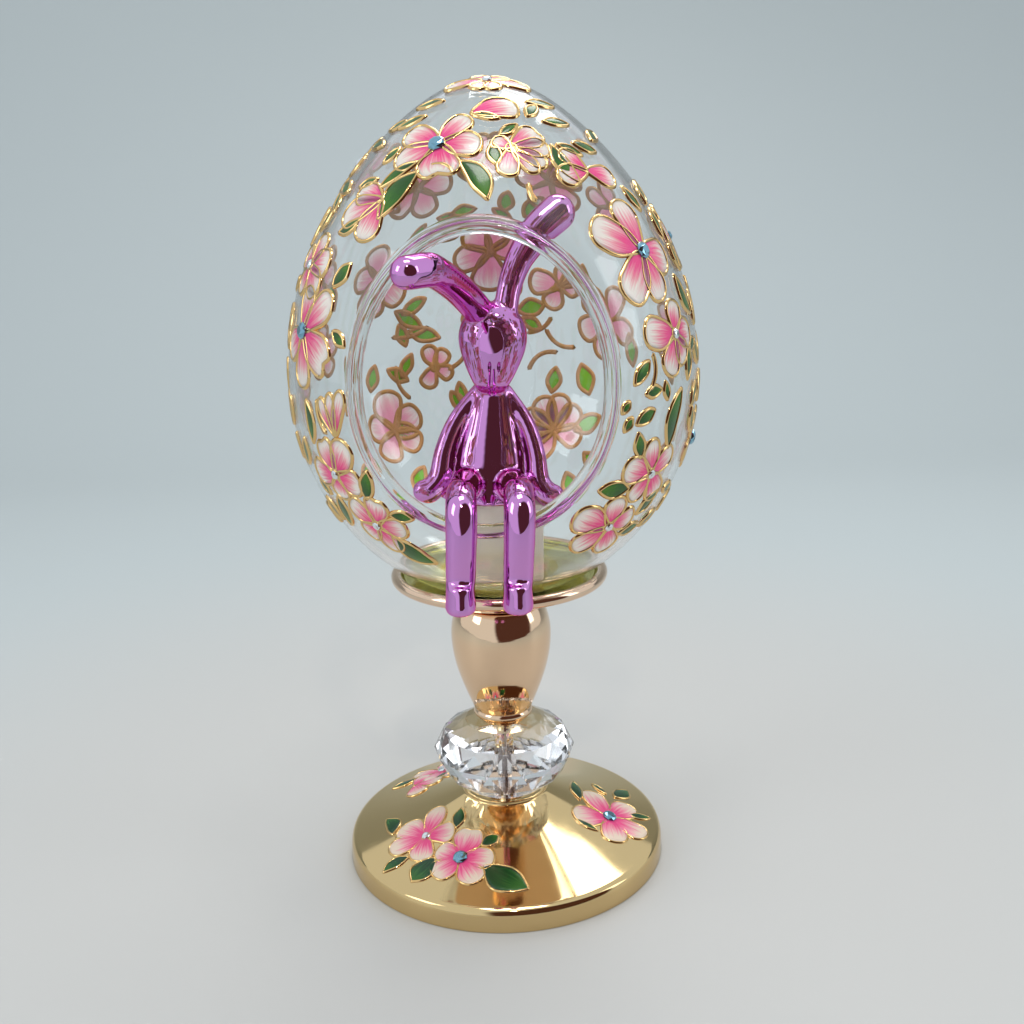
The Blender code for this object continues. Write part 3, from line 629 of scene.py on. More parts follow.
def in_place(points):
    """Points in hundredths of the rabbit's height, from the middle of its hem, put where it sits."""
    return np.asarray(points) @ figure_place[:3, :3].T + figure_place[:3, 3]


def smooth_route(points, radii, steps):
    """Points and radii on a smooth line through the given ones: a cubic set by four points at a time."""
    rows = np.column_stack([np.array(points), radii])
    padded = np.vstack([2 * rows[0] - rows[1], rows, 2 * rows[-1] - rows[-2]])
    t = np.linspace(0, 1, steps, endpoint=False)[None, :, None]
    before, start, end, after = (padded[i : len(padded) - 3 + i, None] for i in range(4))
    route = 0.5 * (
        2 * start
        + (end - before) * t
        + (2 * before - 5 * start + 4 * end - after) * t**2
        + (3 * start - before - 3 * end + after) * t**3
    )
    route = np.vstack([route.reshape(-1, 4), rows[-1]])
    return route[:, :3], route[:, 3]


def limb(points, radii, sides=32):
    """Rings of a round limb along a smooth route, each end closed by a half ball of its own radius."""
    line, width = smooth_route(points, radii, 14)
    travel = np.gradient(line, axis=0)
    travel /= np.linalg.norm(travel, axis=-1, keepdims=True)
    cap = np.linspace(0, math.pi / 2, 9)[1:]
    head_line = line[0] - travel[0] * width[0] * np.cos(cap[:, None])
    tail_line = line[-1] + travel[-1] * width[-1] * np.sin(cap[:, None])
    line = np.vstack([head_line, line, tail_line])
    tail_width = width[-1] * np.maximum(np.cos(cap), 0.02)
    width = np.concatenate([width[0] * np.sin(cap), width, tail_width])
    travel = np.pad(travel, ((len(cap), len(cap)), (0, 0)), mode="edge")
    side = np.cross(travel, UNLIKE_ANY_LIMB)
    side /= np.linalg.norm(side, axis=-1, keepdims=True)
    third = np.cross(travel, side)
    angles = np.linspace(0, -math.tau, sides, endpoint=False)[None, :, None]
    ring = np.cos(angles) * side[:, None] + np.sin(angles) * third[:, None]
    return line[:, None] + width[:, None, None] * ring


def turned_form(profile, depth_share):
    """Rings of a turned form, smooth between its profile's points and flattened from front to back."""
    radius, height = np.array(profile, float).T
    line, _ = smooth_route(np.column_stack([radius, height, 0 * radius]), 0 * radius, 6)
    rings = turned_rings(np.maximum(line[:, :2], (0.02, -99)), 64)
    rings[..., 1] *= depth_share
    return rings


body = [(0, 41), (4, 40.5), (6.2, 38), (7.2, 34), (9.2, 27), (11.6, 20), (13.8, 12), (15.8, 5), (17.2, 0.2)]
flat_hem = turned_rings([(16.9, 0.0), (8.0, 0.0), (0.02, 0.0)], 64) * (1, BODY_DEPTH, 1)
forms = [in_place(np.concatenate([turned_form(body, BODY_DEPTH), flat_hem]))]

head = [(0, 67), (3.6, 66.4), (7.6, 64), (10.5, 60), (11.4, 55.5), (10.8, 51), (9.0, 46), (7.2, 42)]
head_rings = turned_form(head + [(5.4, 39), (3.0, 37.4), (0, 37)], HEAD_DEPTH) - (0, 0, 52)
nod = np.array(Matrix.Rotation(HEAD_NOD, 3, "X"))
forms.append(in_place(head_rings @ nod.T + (-0.4, -3, 52)))

arm = [(4.5, 0, 37), (11.5, -2, 27), (15.3, -4.3, 17), (16.7, -6.6, 8), (19.8, -8, 3.7), (21.8, -8, 3.5)]
arm_radii = np.array((2.6, 3.1, 3.4, 3.9, 4.2, 3.9)) * unit
for side in (-1, 1):
    forms.append(limb(in_place(np.array(arm) * (side, 1, 1)), arm_radii))

lip = lip_line(72)
lowest = lip[lip[:, 2].argmin()]
half, corner = FOOT_HEIGHT / 2, 0.3 * LEG_RADIUS
sole = []
for t in np.linspace(0, 1.57, 8):
    sole.append((LEG_RADIUS - corner * (1 - math.cos(t)), corner * (1 - math.sin(t)) - half))
knee_front = min(lowest[1], lip[:, 1].mean()) - LIP_RADIUS - LEG_CLEARANCE - LEG_RADIUS
over_lip = lowest[2] + LIP_RADIUS + LEG_CLEARANCE + LEG_RADIUS
for side in (-1, 1):
    knee_side = RABBIT_SIDEWAYS + LEG_SIDEWAYS + side * LEG_SPREAD / 2
    knee = np.array((knee_side, knee_front, over_lip + 0.3 * LEG_RADIUS))
    foot = knee + (-LEG_TOE_OUT, 0, LEG_RADIUS + FOOT_HEIGHT / 2 - LEG_LENGTH)
    middle = (knee_side, lowest[1] + 1.6 * LEG_RADIUS, over_lip + 0.1 * LEG_RADIUS)
    bend = knee + (0, -0.35 * LEG_RADIUS, -1.3 * LEG_RADIUS)
    route = [in_place((side * 7.2, -4, 6.0)), middle, knee + (0, 0.8 * LEG_RADIUS, 0), bend, foot]
    forms.append(limb(route, LEG_RADIUS * np.array((1.08, 1.0, 1.0, 1.02, 0.94))))
    shoe = turned_rings([(NEAR_AXIS, half), (0.9 * LEG_RADIUS, half)] + sole + [(NEAR_AXIS, -half)], 48)
    shoe[..., 1] *= 1.4
    forms.append(shoe + foot + (0, -0.35 * LEG_RADIUS, 0))

turned_about = np.arctan2((lip - mouth_centre) @ mouth_up, (lip - mouth_centre) @ mouth_side)
edge = lip[np.abs(turned_about - math.radians(112)).argmin()]
inwards = (mouth_centre - edge) / np.linalg.norm(mouth_centre - edge)
crossing = edge + inwards * (LIP_RADIUS + EAR_CLEARANCE + EAR_RADIUS)
root = in_place((-4.6, -4, 63))
rise = root + 0.42 * (crossing - root) + np.array((-1.2, 0, 2.4)) * unit
droop, tip = np.array((-2.6, -6.5, 0.9)) * unit, np.array((-7.2, -12.5, 0.6)) * unit
ear = [root, rise, crossing, crossing + droop, crossing + tip]
forms.append(limb(ear, EAR_RADIUS * np.array((1.05, 1.05, 1.02, 1.05, 1.02))))
upright = in_place([(3.4, -3, 61), (4.4, 0, 71), (7.6, 5, 80.5), (14.0, 11, 90.0), (20.0, 15, 95.6)])
forms.append(limb(upright, EAR_RADIUS * np.array((0.84, 0.86, 0.98, 1.25, 1.32))))


def fused(name, forms, voxel, rounds):
    """All forms in one mesh, made one skin by a fine voxel remesh and softened where they run together."""
    figure = bmesh.new()
    for rings in forms:
        part = skin("form", rings)
        figure.from_mesh(part.data)
        bpy.data.objects.remove(part, do_unlink=True)
    bmesh.ops.recalc_face_normals(figure, faces=figure.faces)
    mesh = bpy.data.meshes.new(name)
    figure.to_mesh(mesh)
    figure.free()
    piece = bpy.data.objects.new(name, mesh)
    scene.collection.objects.link(piece)
    remesh = piece.modifiers.new("fuse", "REMESH")
    remesh.mode = "VOXEL"
    remesh.voxel_size = voxel
    soften = piece.modifiers.new("soften", "SMOOTH")
    soften.factor = 0.5
    soften.iterations = rounds
    return piece


def settle(piece):
    """Puts what the piece's modifiers make into its own mesh, and drops the modifiers."""
    bpy.context.view_layer.update()
    made = bpy.data.meshes.new_from_object(piece.evaluated_get(bpy.context.evaluated_depsgraph_get()))
    piece.modifiers.clear()
    piece.data = made
    made.shade_smooth()
    made.set_sharp_from_angle(angle=math.radians(50))


rabbit = fused("rabbit_cast", forms, RABBIT_VOXEL, RABBIT_SOFTENING)
ball = turned_rings([(math.sin(t), math.cos(t)) for t in np.linspace(0.05, math.pi - 0.05, 13)], 20)
slits = [in_place(ball * SLIT_SIZE + (0.3 + side * 1.5, -12.4, 46.6)) for side in (-1, 1)]
cutter = fused("slit_cutter", slits, SLIT_VOXEL, 0)
cutter.modifiers.clear()
cut = rabbit.modifiers.new("slits", "BOOLEAN")
cut.operation = "DIFFERENCE"
cut.object = cutter
settle(rabbit)
bpy.data.objects.remove(cutter, do_unlink=True)
rabbit_material, _, shader = plated(
    "violet plating", RABBIT_COLOUR, polished=0.03, smeared=0.09, smear_size=80.0, wave=0.02
)
shader.inputs["Specular Tint"].default_value = (*RABBIT_GLANCE, 1)
dress(rabbit, rabbit_material)
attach(rabbit, "root")
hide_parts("rabbit")


# Blossom sprays on the egg. Fired enamel: petals and leaves of coloured glaze in raised gilded outlines.
# A place is an angle round the egg from its front and a height. A direction is clockwise from straight up.
# The outline's section runs from its outer foot over the top to its inner foot, which lies under the glaze.
OUTLINE_SECTION = [(0.72, 0.03), (0.72, 0.08), (0.58, 0.24), (0.36, 0.60), (-0.04, 0.76), (-0.42, 0.48)]
OUTLINE_SECTION = np.array(OUTLINE_SECTION + [(-0.52, 0.14), (-1.0, 0.10), (-1.0, 0.03)]) * MM
OUTLINE_STEPS = 32
EGG_OUTLINE_THICKNESS = 0.88
UNDERSIDE_COLUMN = len(OUTLINE_SECTION) - 1
FILL_ROWS = 15
FILL_COLUMNS = 8
FILL_UNDER = 0.16 * MM
FILL_EDGE = 0.24 * MM
FILL_DOME = 0.28 * MM
EYE_RADIUS = 1.5 * MM
EDGE_RIPPLE = 0.06
GLAZE_ROUGHNESS = 0.22
GLAZE_STOPS = (0.30, 0.56, 0.82)
GLAZE_DRIFT = 0.24
GLAZE_SEEPAGE = 0.12
GILDING_COLOUR = (0.84, 0.56, 0.24)
GILDING_BELOW = (0.52, 0.26, 0.085)
draw = np.random.default_rng(7)

# Angle, height, and then direction, length, width and notch of each petal, in degrees and millimetres.
EGG_FLOWERS = [
    (-22, 221.2, [(86, 11.5, 8.5), (24, 12, 7), (-61, 13.5, 8), (-112, 13, 8.5), (167, 11.5, 11.5, 0.14)]),
    (-9, 229, [(64, 13, 9)]),
    (10, 219.5, [
        (-165, 9, 5.5), (120, 10, 5), (142, 9.5, 4.5), (85, 10.5, 6.5), (52, 11, 7.5, 0.08),
        (-52, 5.5, 4.5),
    ]),
    (-38, 207.5, [(-105, 15, 9), (-163, 12, 8.5), (-70, 12, 7)]),
    (-66, 191, [(28, 10, 7), (81, 12, 8), (-150, 9, 7), (128, 12, 8), (-70, 9.5, 7)]),
    (-60, 173.9, [
        (-2, 12.5, 8), (51, 16.5, 8.5), (121, 17, 10.5, 0.14), (176, 15.5, 8.5), (-118, 12.5, 9),
    ]),
    (-45, 147.3, [(-31, 11.3, 3.8), (-6, 11.5, 3.8), (17, 13, 4.2)]),
    (-49, 135.9, [(-19, 10.8, 8, 0.1), (38, 12.5, 8.5), (109, 10, 8), (-172, 8, 7), (-97, 12, 8)]),
    (-39, 122, [(20, 10, 7.5, 0.1), (-52, 10.5, 8), (94, 10, 7), (163, 10.5, 7.5), (-128, 8, 7)]),
    (49, 193, [(-61, 18, 10.5), (-4, 15.5, 9.5), (100, 12.5, 10), (-140, 16.5, 10.5), (170, 14, 9)]),
    (55, 171, [(-82, 14, 9), (16, 9.5, 7.5), (92, 11, 8.5), (-158, 11.5, 8.5), (146, 9.5, 7.5)]),
    (47, 134, [(-12, 10.5, 6.5), (62, 11, 7), (-74, 12, 8), (-142, 9.5, 7), (140, 11.5, 7.5)]),
    (36, 120, [(-67, 14, 9), (2, 10, 7.5), (80, 9.5, 7.5), (-129, 12, 8.5), (160, 12, 8)]),
    (2, 238.3, [(-80, 12, 6), (-20, 8, 5.5), (45, 8, 5.5), (88, 12, 6), (160, 6, 4.5), (-140, 6, 4.5)]),
    (40, 213.5, [(-95, 10, 6.5), (-35, 9, 6), (100, 10, 7)]),
    (180, 191, [(-80, 14, 10), (-22, 11, 8.5), (42, 12, 9), (104, 13, 9.5), (176, 14, 12)]),
    (-139, 183, [(20, 13, 10), (85, 12, 9), (158, 13, 11), (-130, 12, 9), (-60, 12, 9.5)]),
    (-160, 152, [(-40, 7, 5.5), (22, 8, 5.5), (150, 8, 6), (-120, 7, 5)]),
    (158, 129.2, [
        (-48, 12, 8), (-8, 13, 8.5), (30, 13, 8.5), (68, 13, 8.5), (106, 13, 8.5), (150, 12, 8.5),
        (-105, 11, 8),
    ]),
    (-142, 132, [(8, 14, 11.5), (80, 11, 9), (150, 12, 9), (-130, 11, 8.5), (-62, 12, 9.5)]),
    (156, 179, [(-105, 7, 5), (-60, 7, 5), (-15, 7, 5), (75, 11, 9), (150, 9, 7)]),
    (139, 167, [(-30, 14, 8), (35, 13, 9), (105, 12, 9), (170, 13, 9), (-110, 12, 8.5)]),
    (178, 222, [(-90, 11, 8), (-30, 9, 7), (35, 9, 7), (92, 11, 8), (175, 9, 7)]),
    (-176, 166, [(-45, 7, 5), (10, 8, 5.5), (60, 7, 5)]),
]
# Angle, height, direction of the first petal, length and width of the blossoms that have five like petals.
EVEN_BLOSSOMS = [
    (-96, 217.7, 15, 10.5, 7.6), (-92, 150, 10, 10, 7.4), (80, 138.1, 25, 9.6, 7.2),
    (98, 123.1, 5, 9.4, 7.2), (84, 196, -5, 10.2, 7.8), (-112, 162, 0, 9, 7), (122, 205, -20, 10, 7),
    (150, 213, -5, 12, 9), (-146, 212, 0, 12, 9), (-104, 187, -20, 10, 7.8), (108, 166, 10, 10, 7.8),
    (-172, 116, 0, 9.8, 7.4),
]
for angle, height, first, length, width in EVEN_BLOSSOMS:
    EGG_FLOWERS.append((angle, height, [(first + 72 * step, length, width) for step in range(5)]))
# Angle and height of each leaf's base, and then its direction, length, width and how far it curls.
EGG_LEAVES = [
    (-27, 214.3, -148, 16, 6.5, 0.08), (-29, 216.8, -126, 12, 3.2, 0.05), (-11, 216.6, 144, 14, 5.6, -0.12),
    (-8, 228.7, 98, 7, 2.4), (2, 220.8, 172, 7, 3.4), (6, 223, 48, 6.5, 2.6),
    (29, 220.3, 163, 13, 4.6, 0.1), (32, 220.5, 115, 7.5, 2.6), (42, 221, 107, 8, 3.4),
    (-55, 211, 66, 7, 2.8), (-54, 199.5, 58, 8.5, 3.2, 0.1), (-39, 130, 20, 9.5, 4.4),
    (-32, 126.3, 97, 7, 3.4), (-35, 118.8, 138, 14.5, 7.2, 0.1), (-53, 128.8, -172, 11, 5),
    (-58, 155.5, 176, 12, 4.2, -0.1), (-61, 132.4, 138, 5.5, 3.2), (-45, 174.8, 127, 6, 3),
    (-48, 186, 37, 8, 4.2), (64, 186, 148, 13, 5, 0.1), (56, 209.5, 156, 8, 3.2), (37, 159.8, 46, 8, 3.6),
    (41, 156.8, 84, 6.5, 3), (38, 149.2, 66, 7.5, 3.6), (50, 154.2, -12, 5, 2.4), (33, 152.8, 42, 3.6, 2.2),
    (34, 147.8, 36, 4.2, 2.4), (53, 140.2, 17, 17, 6, -0.12), (41, 139.5, -16, 7.5, 3.6),
    (39, 131.2, -87, 10.5, 5), (48, 121.5, 45, 9.5, 4.6), (44, 116, 80, 8, 4), (-84, 164, -160, 13, 4.4),
    (-82, 196, -10, 12, 4), (75, 150, 20, 9, 4), (92, 134, 60, 9, 4), (70, 205, 35, 10, 4.2),
    (-75, 212, 100, 9, 4), (-70, 226, 60, 8, 3), (50, 226, -75, 9, 3), (-40, 229, -110, 9, 3),
    (-157, 176, 120, 10, 4.4), (-157, 195, -55, 15, 7), (-151, 192, -15, 10, 4.6), (-164, 203, -70, 9, 5),
    (174, 204, -15, 8, 5), (166, 202, -45, 11, 6), (-162, 162, 75, 12, 5), (162, 172.5, 100, 10, 6),
    (150, 129.5, -60, 11, 6.5), (-151, 130, 75, 11, 6), (172, 200, 40, 8, 4.5), (-168, 201, 75, 8, 4.5),
    (-152, 157, 150, 9, 4), (-168, 146, -170, 8, 3.6), (160, 142, -10, 9, 5), (146, 186, 160, 11, 4.6),
    (-146, 172, -120, 12, 4.6), (-135, 146, -20, 9, 4.6), (-150, 119, 140, 10, 5), (150, 116, -150, 10, 5),
    (128, 153, 10, 11, 5), (-118, 175, 30, 11, 5), (-108, 147, 160, 11, 5), (112, 190, 100, 10, 4.6),
    (130, 190, 30, 10, 4.4), (-120, 200, 10, 12, 5), (-140, 205, 60, 12, 5), (150, 212, -30, 10, 4.4),
    (105, 150, 30, 12, 5), (118, 128, -100, 9, 4.4), (-122, 140, -50, 10, 4.6), (-170, 214, 20, 9, 4),
    (-90, 183, 60, 9, 4), (100, 168, -40, 10, 4.4), (-172, 150, -60, 10, 4.4), (-150, 148, 60, 9, 4.2),
    (-170, 158, -100, 12, 4.4, 0.1), (-150, 160, 20, 8, 4), (-165, 143, -150, 8, 4), (-168, 176, 30, 9, 4),
    (178, 146, 60, 10, 4.4), (174, 156, 10, 9, 4), (170, 168, -120, 8, 4), (-130, 150, 30, 10, 6),
    (-128, 122, 100, 9, 5), (146, 142, 20, 11, 6.5), (135, 118, 60, 10, 5), (170, 182, 150, 9, 4.6),
    (-120, 222, 60, 9, 4), (118, 222, -60, 9, 4), (-80, 135, 30, 10, 4.4), (-78, 180, 150, 9, 3.8),
    (74, 172, 20, 10, 4), (70, 118, 60, 10, 4.4), (-66, 118, -60, 9, 4.2), (60, 222, 60, 9, 3.6),
    (-60, 222, -80, 9, 3.4), (30, 232, 90, 9, 3), (-35, 233, -95, 9, 3), (-13, 213.5, -60, 7, 0.2, 0.2),
    (14, 210.5, 170, 5, 0.2, 0.1), (43, 158, 8, 9, 0.2, 0.15), (-158, 166, 100, 14, 0.2, 0.12),
    (-172, 160, 140, 12, 0.2, 0.15), (168, 150, -60, 12, 0.2, 0.2), (152, 158, 60, 12, 0.2, 0.2),
    (-150, 142, 20, 12, 0.2, 0.15), (160, 168, 120, 10, 0.2, 0.15), (-52, 156, 160, 9, 0.2, 0.15),
    (62, 158, 10, 9, 4), (66, 150, 40, 8, 3.6), (70, 142, -20, 8, 4), (60, 127, 100, 7, 3.4),
    (56, 116, 60, 8, 4), (68, 196, 10, 9, 4), (74, 187, -20, 8, 3.6), (24, 228, 40, 7, 3),
    (64, 166, 70, 7, 3.2), (73, 161, -30, 8, 3.6), (-74, 168, -20, 9, 4), (-72, 200, 20, 8, 3.6),
    (-64, 144, -160, 9, 4), (-60, 120, -30, 8, 3.6), (-48, 217, 30, 6, 3), (-66, 205, -40, 8, 3.4),
    (-76, 146, 20, 9, 4), (86, 160, 20, 9, 4), (90, 178, -40, 9, 4), (-90, 128, 40, 9, 4),
]


def blade(share, side, length, width, notch, curl, sharp, ripple):
    """A place on a petal or leaf, along and across it. A leaf's half width is a parabola from base to tip,
    and the leaf may bow to one side. A petal's is that parabola's root, wider and notched at the tip."""
    parabola = 4 * share * (1 - share)
    round_half = np.sqrt(parabola) * (0.45 + 0.75 * share) / 0.89
    waver = 1 + EDGE_RIPPLE * np.sin(9 * share + ripple + side)
    half = width / 2 * (parabola if sharp else round_half) * waver
    across = side * half
    along = length * share - notch * length * np.exp(-((across / (0.2 * width)) ** 2)) * share**4
    return along, across + curl * length * parabola


def spot_at(angle, radius, height, normal):
    """A point at an angle from the front, and the level and the rising direction of the surface there."""
    turned = math.radians(angle)
    centre = np.array((radius * math.sin(turned), -radius * math.cos(turned), height))
    level = np.array((math.cos(turned), math.sin(turned), 0))
    return centre, level, np.cross(normal(centre), level)


def beside_spot(spot, along, across, direction):
    """Flat places beside a spot, turned to their direction, on the plane of its level and rising lines."""
    centre, level, rising = spot
    turned = math.radians(direction)
    sideways = along * math.sin(turned) + across * math.cos(turned)
    upwards = along * math.cos(turned) - across * math.sin(turned)
    return centre + sideways[..., None] * level + upwards[..., None] * rising


def egg_place(angle, height):
    """The spot on the egg at an angle and a height in millimetres."""
    height *= MM
    return spot_at(angle, math.sqrt(egg_square(np.array(height - egg_middle[2]))), height, egg_normal)


def laid_on_egg(spot, along, across, direction, lift):
    """Flat places beside a spot, laid onto the egg and lifted off it by the given heights."""
    points = onto_egg(beside_spot(spot, along, across, direction))
    return points + lift[..., None] * egg_normal(points)


def outline_shape(along, across, direction, spot, lay, thickness):
    """The raised outline round a closed edge: its section swept along, each step square to the edge."""
    travel = np.stack([np.roll(along, -1) - np.roll(along, 1), np.roll(across, -1) - np.roll(across, 1)])
    travel /= np.linalg.norm(travel, axis=0)
    offset, lift = OUTLINE_SECTION.T * thickness
    return lay(
        spot,
        along[:, None] - travel[1][:, None] * offset,
        across[:, None] + travel[0][:, None] * offset,
        direction,
        np.broadcast_to(lift, (OUTLINE_STEPS, len(lift))),
    )


def fill_shape(form, direction, spot, lay):
    """The glaze inside an outline: a thin closed pillow, with a ring across the blade at each step."""
    share = np.linspace(0.02, 0.985, FILL_ROWS)[:, None]
    side = np.linspace(1, -1, FILL_COLUMNS)
    side = np.concatenate([side, side[::-1]])[None]
    along, across = blade(share + 0 * side, side + 0 * share, *form)
    dome = FILL_EDGE + (FILL_DOME * np.sqrt(1 - side**2 * 0.96) * (4 * share * (1 - share)) ** 0.35)
    lift = np.where(np.arange(2 * FILL_COLUMNS) < FILL_COLUMNS, dome, FILL_UNDER + 0 * share)
    return lay(spot, along, across, direction, lift)


def glaze_values(many):
    """For each point: share along the blade, place across it, whether underneath, and a chance tone."""
    share = np.repeat(np.linspace(0, 1, FILL_ROWS), 2 * FILL_COLUMNS)
    side = np.linspace(1, -1, FILL_COLUMNS)
    side = np.tile(np.concatenate([side, side[::-1]]), FILL_ROWS)
    under = np.tile(np.repeat((0.0, 1.0), FILL_COLUMNS), FILL_ROWS)
    return {
        "along": np.tile(np.append(share, (0, 1)), many),
        "across": np.tile(np.append(side, (0, 0)), many),
        "under": np.tile(np.append(under, (0, 0)), many),
        "chance": np.repeat(draw.random(many), len(share) + 2),
    }


def enamelled(name, shapes, material):
    """One piece of many glaze fills, with the values its material reads at each point."""
    piece = skin(name, np.array(shapes))
    for label, values in glaze_values(len(shapes)).items():
        column = piece.data.attributes.new(label, "FLOAT", "POINT")
        column.data.foreach_set("value", values.astype(np.float32))
    dress(piece, material)
    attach(piece, "root")


def gilded(name, shapes, materials):
    """One piece of many raised outlines, gilded outside and dull where they lie on the surface."""
    piece = skin(name, np.array(shapes), loop=True)
    columns = np.arange(len(piece.data.polygons)) % len(OUTLINE_SECTION)
    dress(piece, *materials)
    piece.data.polygons.foreach_set("material_index", (columns == UNDERSIDE_COLUMN).astype(np.int32))
    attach(piece, "root")


def glaze(name, base, middle, tip, below, backlit_share, clearness, milkiness):
    """Coloured glaze that runs from base to tip of each blade in fine streaks. Its underside is painted
    paler: painted light that stands in for light shining through the enamel from behind.
    """
    values = {"Transmission_Weight": clearness, "Subsurface_Weight": milkiness}
    values |= {"Subsurface_Radius": (1.0, 1.0, 1.0), "Subsurface_Scale": 1.0 * MM}
    values |= {"Specular_IOR_Level": 0.3, "Coat_Weight": 0.3, "Coat_Roughness": 0.05}
    material, tree, shader = new_material(name, middle, GLAZE_ROUGHNESS, **values)
    given = {}
    for label in ("along", "across", "under", "chance"):
        given[label] = add_node(tree, "ShaderNodeAttribute", attribute_name=label)
    streak_place = add_node(tree, "ShaderNodeCombineXYZ")
    for axis, label, scale in (("X", "across", 8.0), ("Y", "along", 1.2), ("Z", "chance", 40.0)):
        scaled = add_node(tree, "ShaderNodeMath", operation="MULTIPLY", in_1=scale)
        wire(tree, (given[label], "Fac", scaled, 0), (scaled, "Value", streak_place, axis))
    streaks = add_node(tree, "ShaderNodeTexNoise", in_Scale=1.0, in_Detail=3.0, in_Roughness=0.6)
    spread = {"in_From_Min": 0.25, "in_From_Max": 0.75, "in_To_Min": -GLAZE_DRIFT, "in_To_Max": GLAZE_DRIFT}
    shift = add_node(tree, "ShaderNodeMapRange", **spread)
    moved = add_node(tree, "ShaderNodeMath", operation="ADD")
    deeper = add_node(tree, "ShaderNodeMath", operation="MULTIPLY_ADD", in_1=-GLAZE_SEEPAGE)
    ramp = add_node(tree, "ShaderNodeValToRGB")
    stops = ramp.color_ramp.elements
    stops[0].position, stops[1].position = GLAZE_STOPS[0], GLAZE_STOPS[2]
    stops[0].color, stops[1].color = (*base, 1), (*tip, 1)
    stops.new(GLAZE_STOPS[1]).color = (*middle, 1)
    # Painted light: underneath, the colour is mixed towards a paler one, standing in for light shining
    # through the enamel from behind.
    paler = add_node(tree, "ShaderNodeMath", operation="MULTIPLY", in_1=backlit_share)
    backlit_tone = two_tones(tree, middle, below)
    wire(tree, (streak_place, "Vector", streaks, "Vector"), (streaks, "Fac", shift, "Value"))
    wire(tree, (given["along"], "Fac", moved, 0), (shift, "Result", moved, 1), (moved, "Value", deeper, 2))
    wire(tree, (given["under"], "Fac", deeper, 0), (deeper, "Value", ramp, "Fac"))
    wire(tree, (given["under"], "Fac", paler, 0), (paler, "Value", backlit_tone, "Factor"))
    wire(tree, (ramp, "Color", backlit_tone, "A"), (backlit_tone, "Result", shader, "Base Color"))
    return material


def spray(name, flowers, sprig, place_on, lay, thickness, materials):
    """All petals, leaves and gilded outlines of one surface, as three pieces."""
    around = np.linspace(0, math.tau, OUTLINE_STEPS, endpoint=False)
    share, side = (1 - np.cos(around)) / 2, np.sign(np.sin(around) + 1e-12)
    petals, leaves, edges = [], [], []
    for angle, height, forms in flowers:
        spot = place_on(angle, height)
        for direction, length, width, *notch in forms:
            form = (length * MM, width * MM, sum(notch), 0.0, False, draw.uniform(0, 6))
            petals.append(fill_shape(form, direction, spot, lay))
            edges.append(outline_shape(*blade(share, side, *form), direction, spot, lay, thickness))
        if len(forms) > 3:
            ring = EYE_RADIUS * np.array((-np.cos(around), np.sin(around)))
            edges.append(outline_shape(*ring, 0, spot, lay, thickness))
    for angle, height, direction, length, width, *curl in sprig:
        spot = place_on(angle, height)
        form = (length * MM, width * MM, 0.0, sum(curl), True, draw.uniform(0, 6))
        leaves.append(fill_shape(form, direction, spot, lay))
        edges.append(outline_shape(*blade(share, side, *form), direction, spot, lay, thickness))
    enamelled(name + "_petals", petals, materials[0])
    enamelled(name + "_leaves", leaves, materials[1])
    gilded(name + "_gold_outlines", edges, (gilding, gilding_under))


# The undersides are painted paler, and the leaves' a much brighter green: painted light for light shining
# through the enamel from behind.
petal_glaze = glaze(
    "pink petal glaze", base=(0.93, 0.07, 0.26), middle=(0.92, 0.33, 0.38), tip=(0.94, 0.80, 0.70),
    below=(1.0, 0.84, 0.86), backlit_share=0.40, clearness=0.12, milkiness=0.8,
)
leaf_glaze = glaze(
    "green leaf glaze", base=(0.012, 0.09, 0.003), middle=(0.03, 0.15, 0.004), tip=(0.07, 0.22, 0.006),
    below=(0.26, 0.66, 0.04), backlit_share=1.0, clearness=0.35, milkiness=0.0,
)
gilding, _, _ = plated(
    "bright gilding", GILDING_COLOUR, polished=0.10, smeared=0.20, smear_size=300.0, wave=0.25
)
gilding_under, _, _ = new_material("gilding from below", GILDING_BELOW, 0.5)
materials = (petal_glaze, leaf_glaze)
spray("egg", EGG_FLOWERS, EGG_LEAVES, egg_place, laid_on_egg, EGG_OUTLINE_THICKNESS, materials)


# Blossom sprays on the base. The same fired enamel on the plated cone, with paler petals and deeper leaves.
# A place on the base is an angle round it from the front and a share of the way up its slope.
BASE_OUTLINE_THICKNESS = 0.62
BASE_FLOWERS = [
    (-53, 0.5, [(-33, 13.5, 7), (38, 9.5, 8), (-98, 12, 9.5), (-150, 12.5, 8), (140, 10, 8)]),
    (-25, 0.44, [(-5, 12, 9.5, 0.1), (73, 10.5, 8), (130, 11, 8), (-145, 10, 8.5), (-78, 9, 7.5)]),
    (75, 0.42, [(50, 15, 9), (114, 14, 9), (-172, 13.5, 8.5), (-113, 12, 9), (-32, 13, 9.5)]),
    (-140, 0.46, [(-60, 12, 8), (10, 11, 8), (80, 11, 8), (150, 12, 8), (-135, 11, 8)]),
    (-118, 0.4, [(-20, 10, 7), (50, 9, 7), (-95, 10, 7)]),
]
BASE_LEAVES = [
    (-71, 0.3, -86, 10, 5, 0.15), (-50, 0.27, -168, 9, 4, 0.1), (-38, 0.37, -176, 10.5, 8),
    (-40, 0.7, -27, 8, 4), (-16, 0.6, 45, 6, 4), (-12, 0.4, 112, 16, 9.5, 0.06), (82, 0.7, 74, 12, 4),
    (101, 0.42, 62, 7, 2.2), (99, 0.34, 133, 9.5, 5.5), (84, 0.25, 165, 7.5, 3), (57, 0.64, 170, 7.5, 2),
    (-126, 0.55, -77, 9, 3.6), (-150, 0.3, -150, 10, 5), (-128, 0.28, 120, 9, 4), (-152, 0.66, 20, 8, 3.6),
]


def base_share(points):
    """The share of the way up the base's slope at each point's distance from the axis."""
    low, high = base_slope(0.0)[0], base_slope(1.0)[0]
    return (np.hypot(points[..., 0], points[..., 1]) - low) / (high - low)


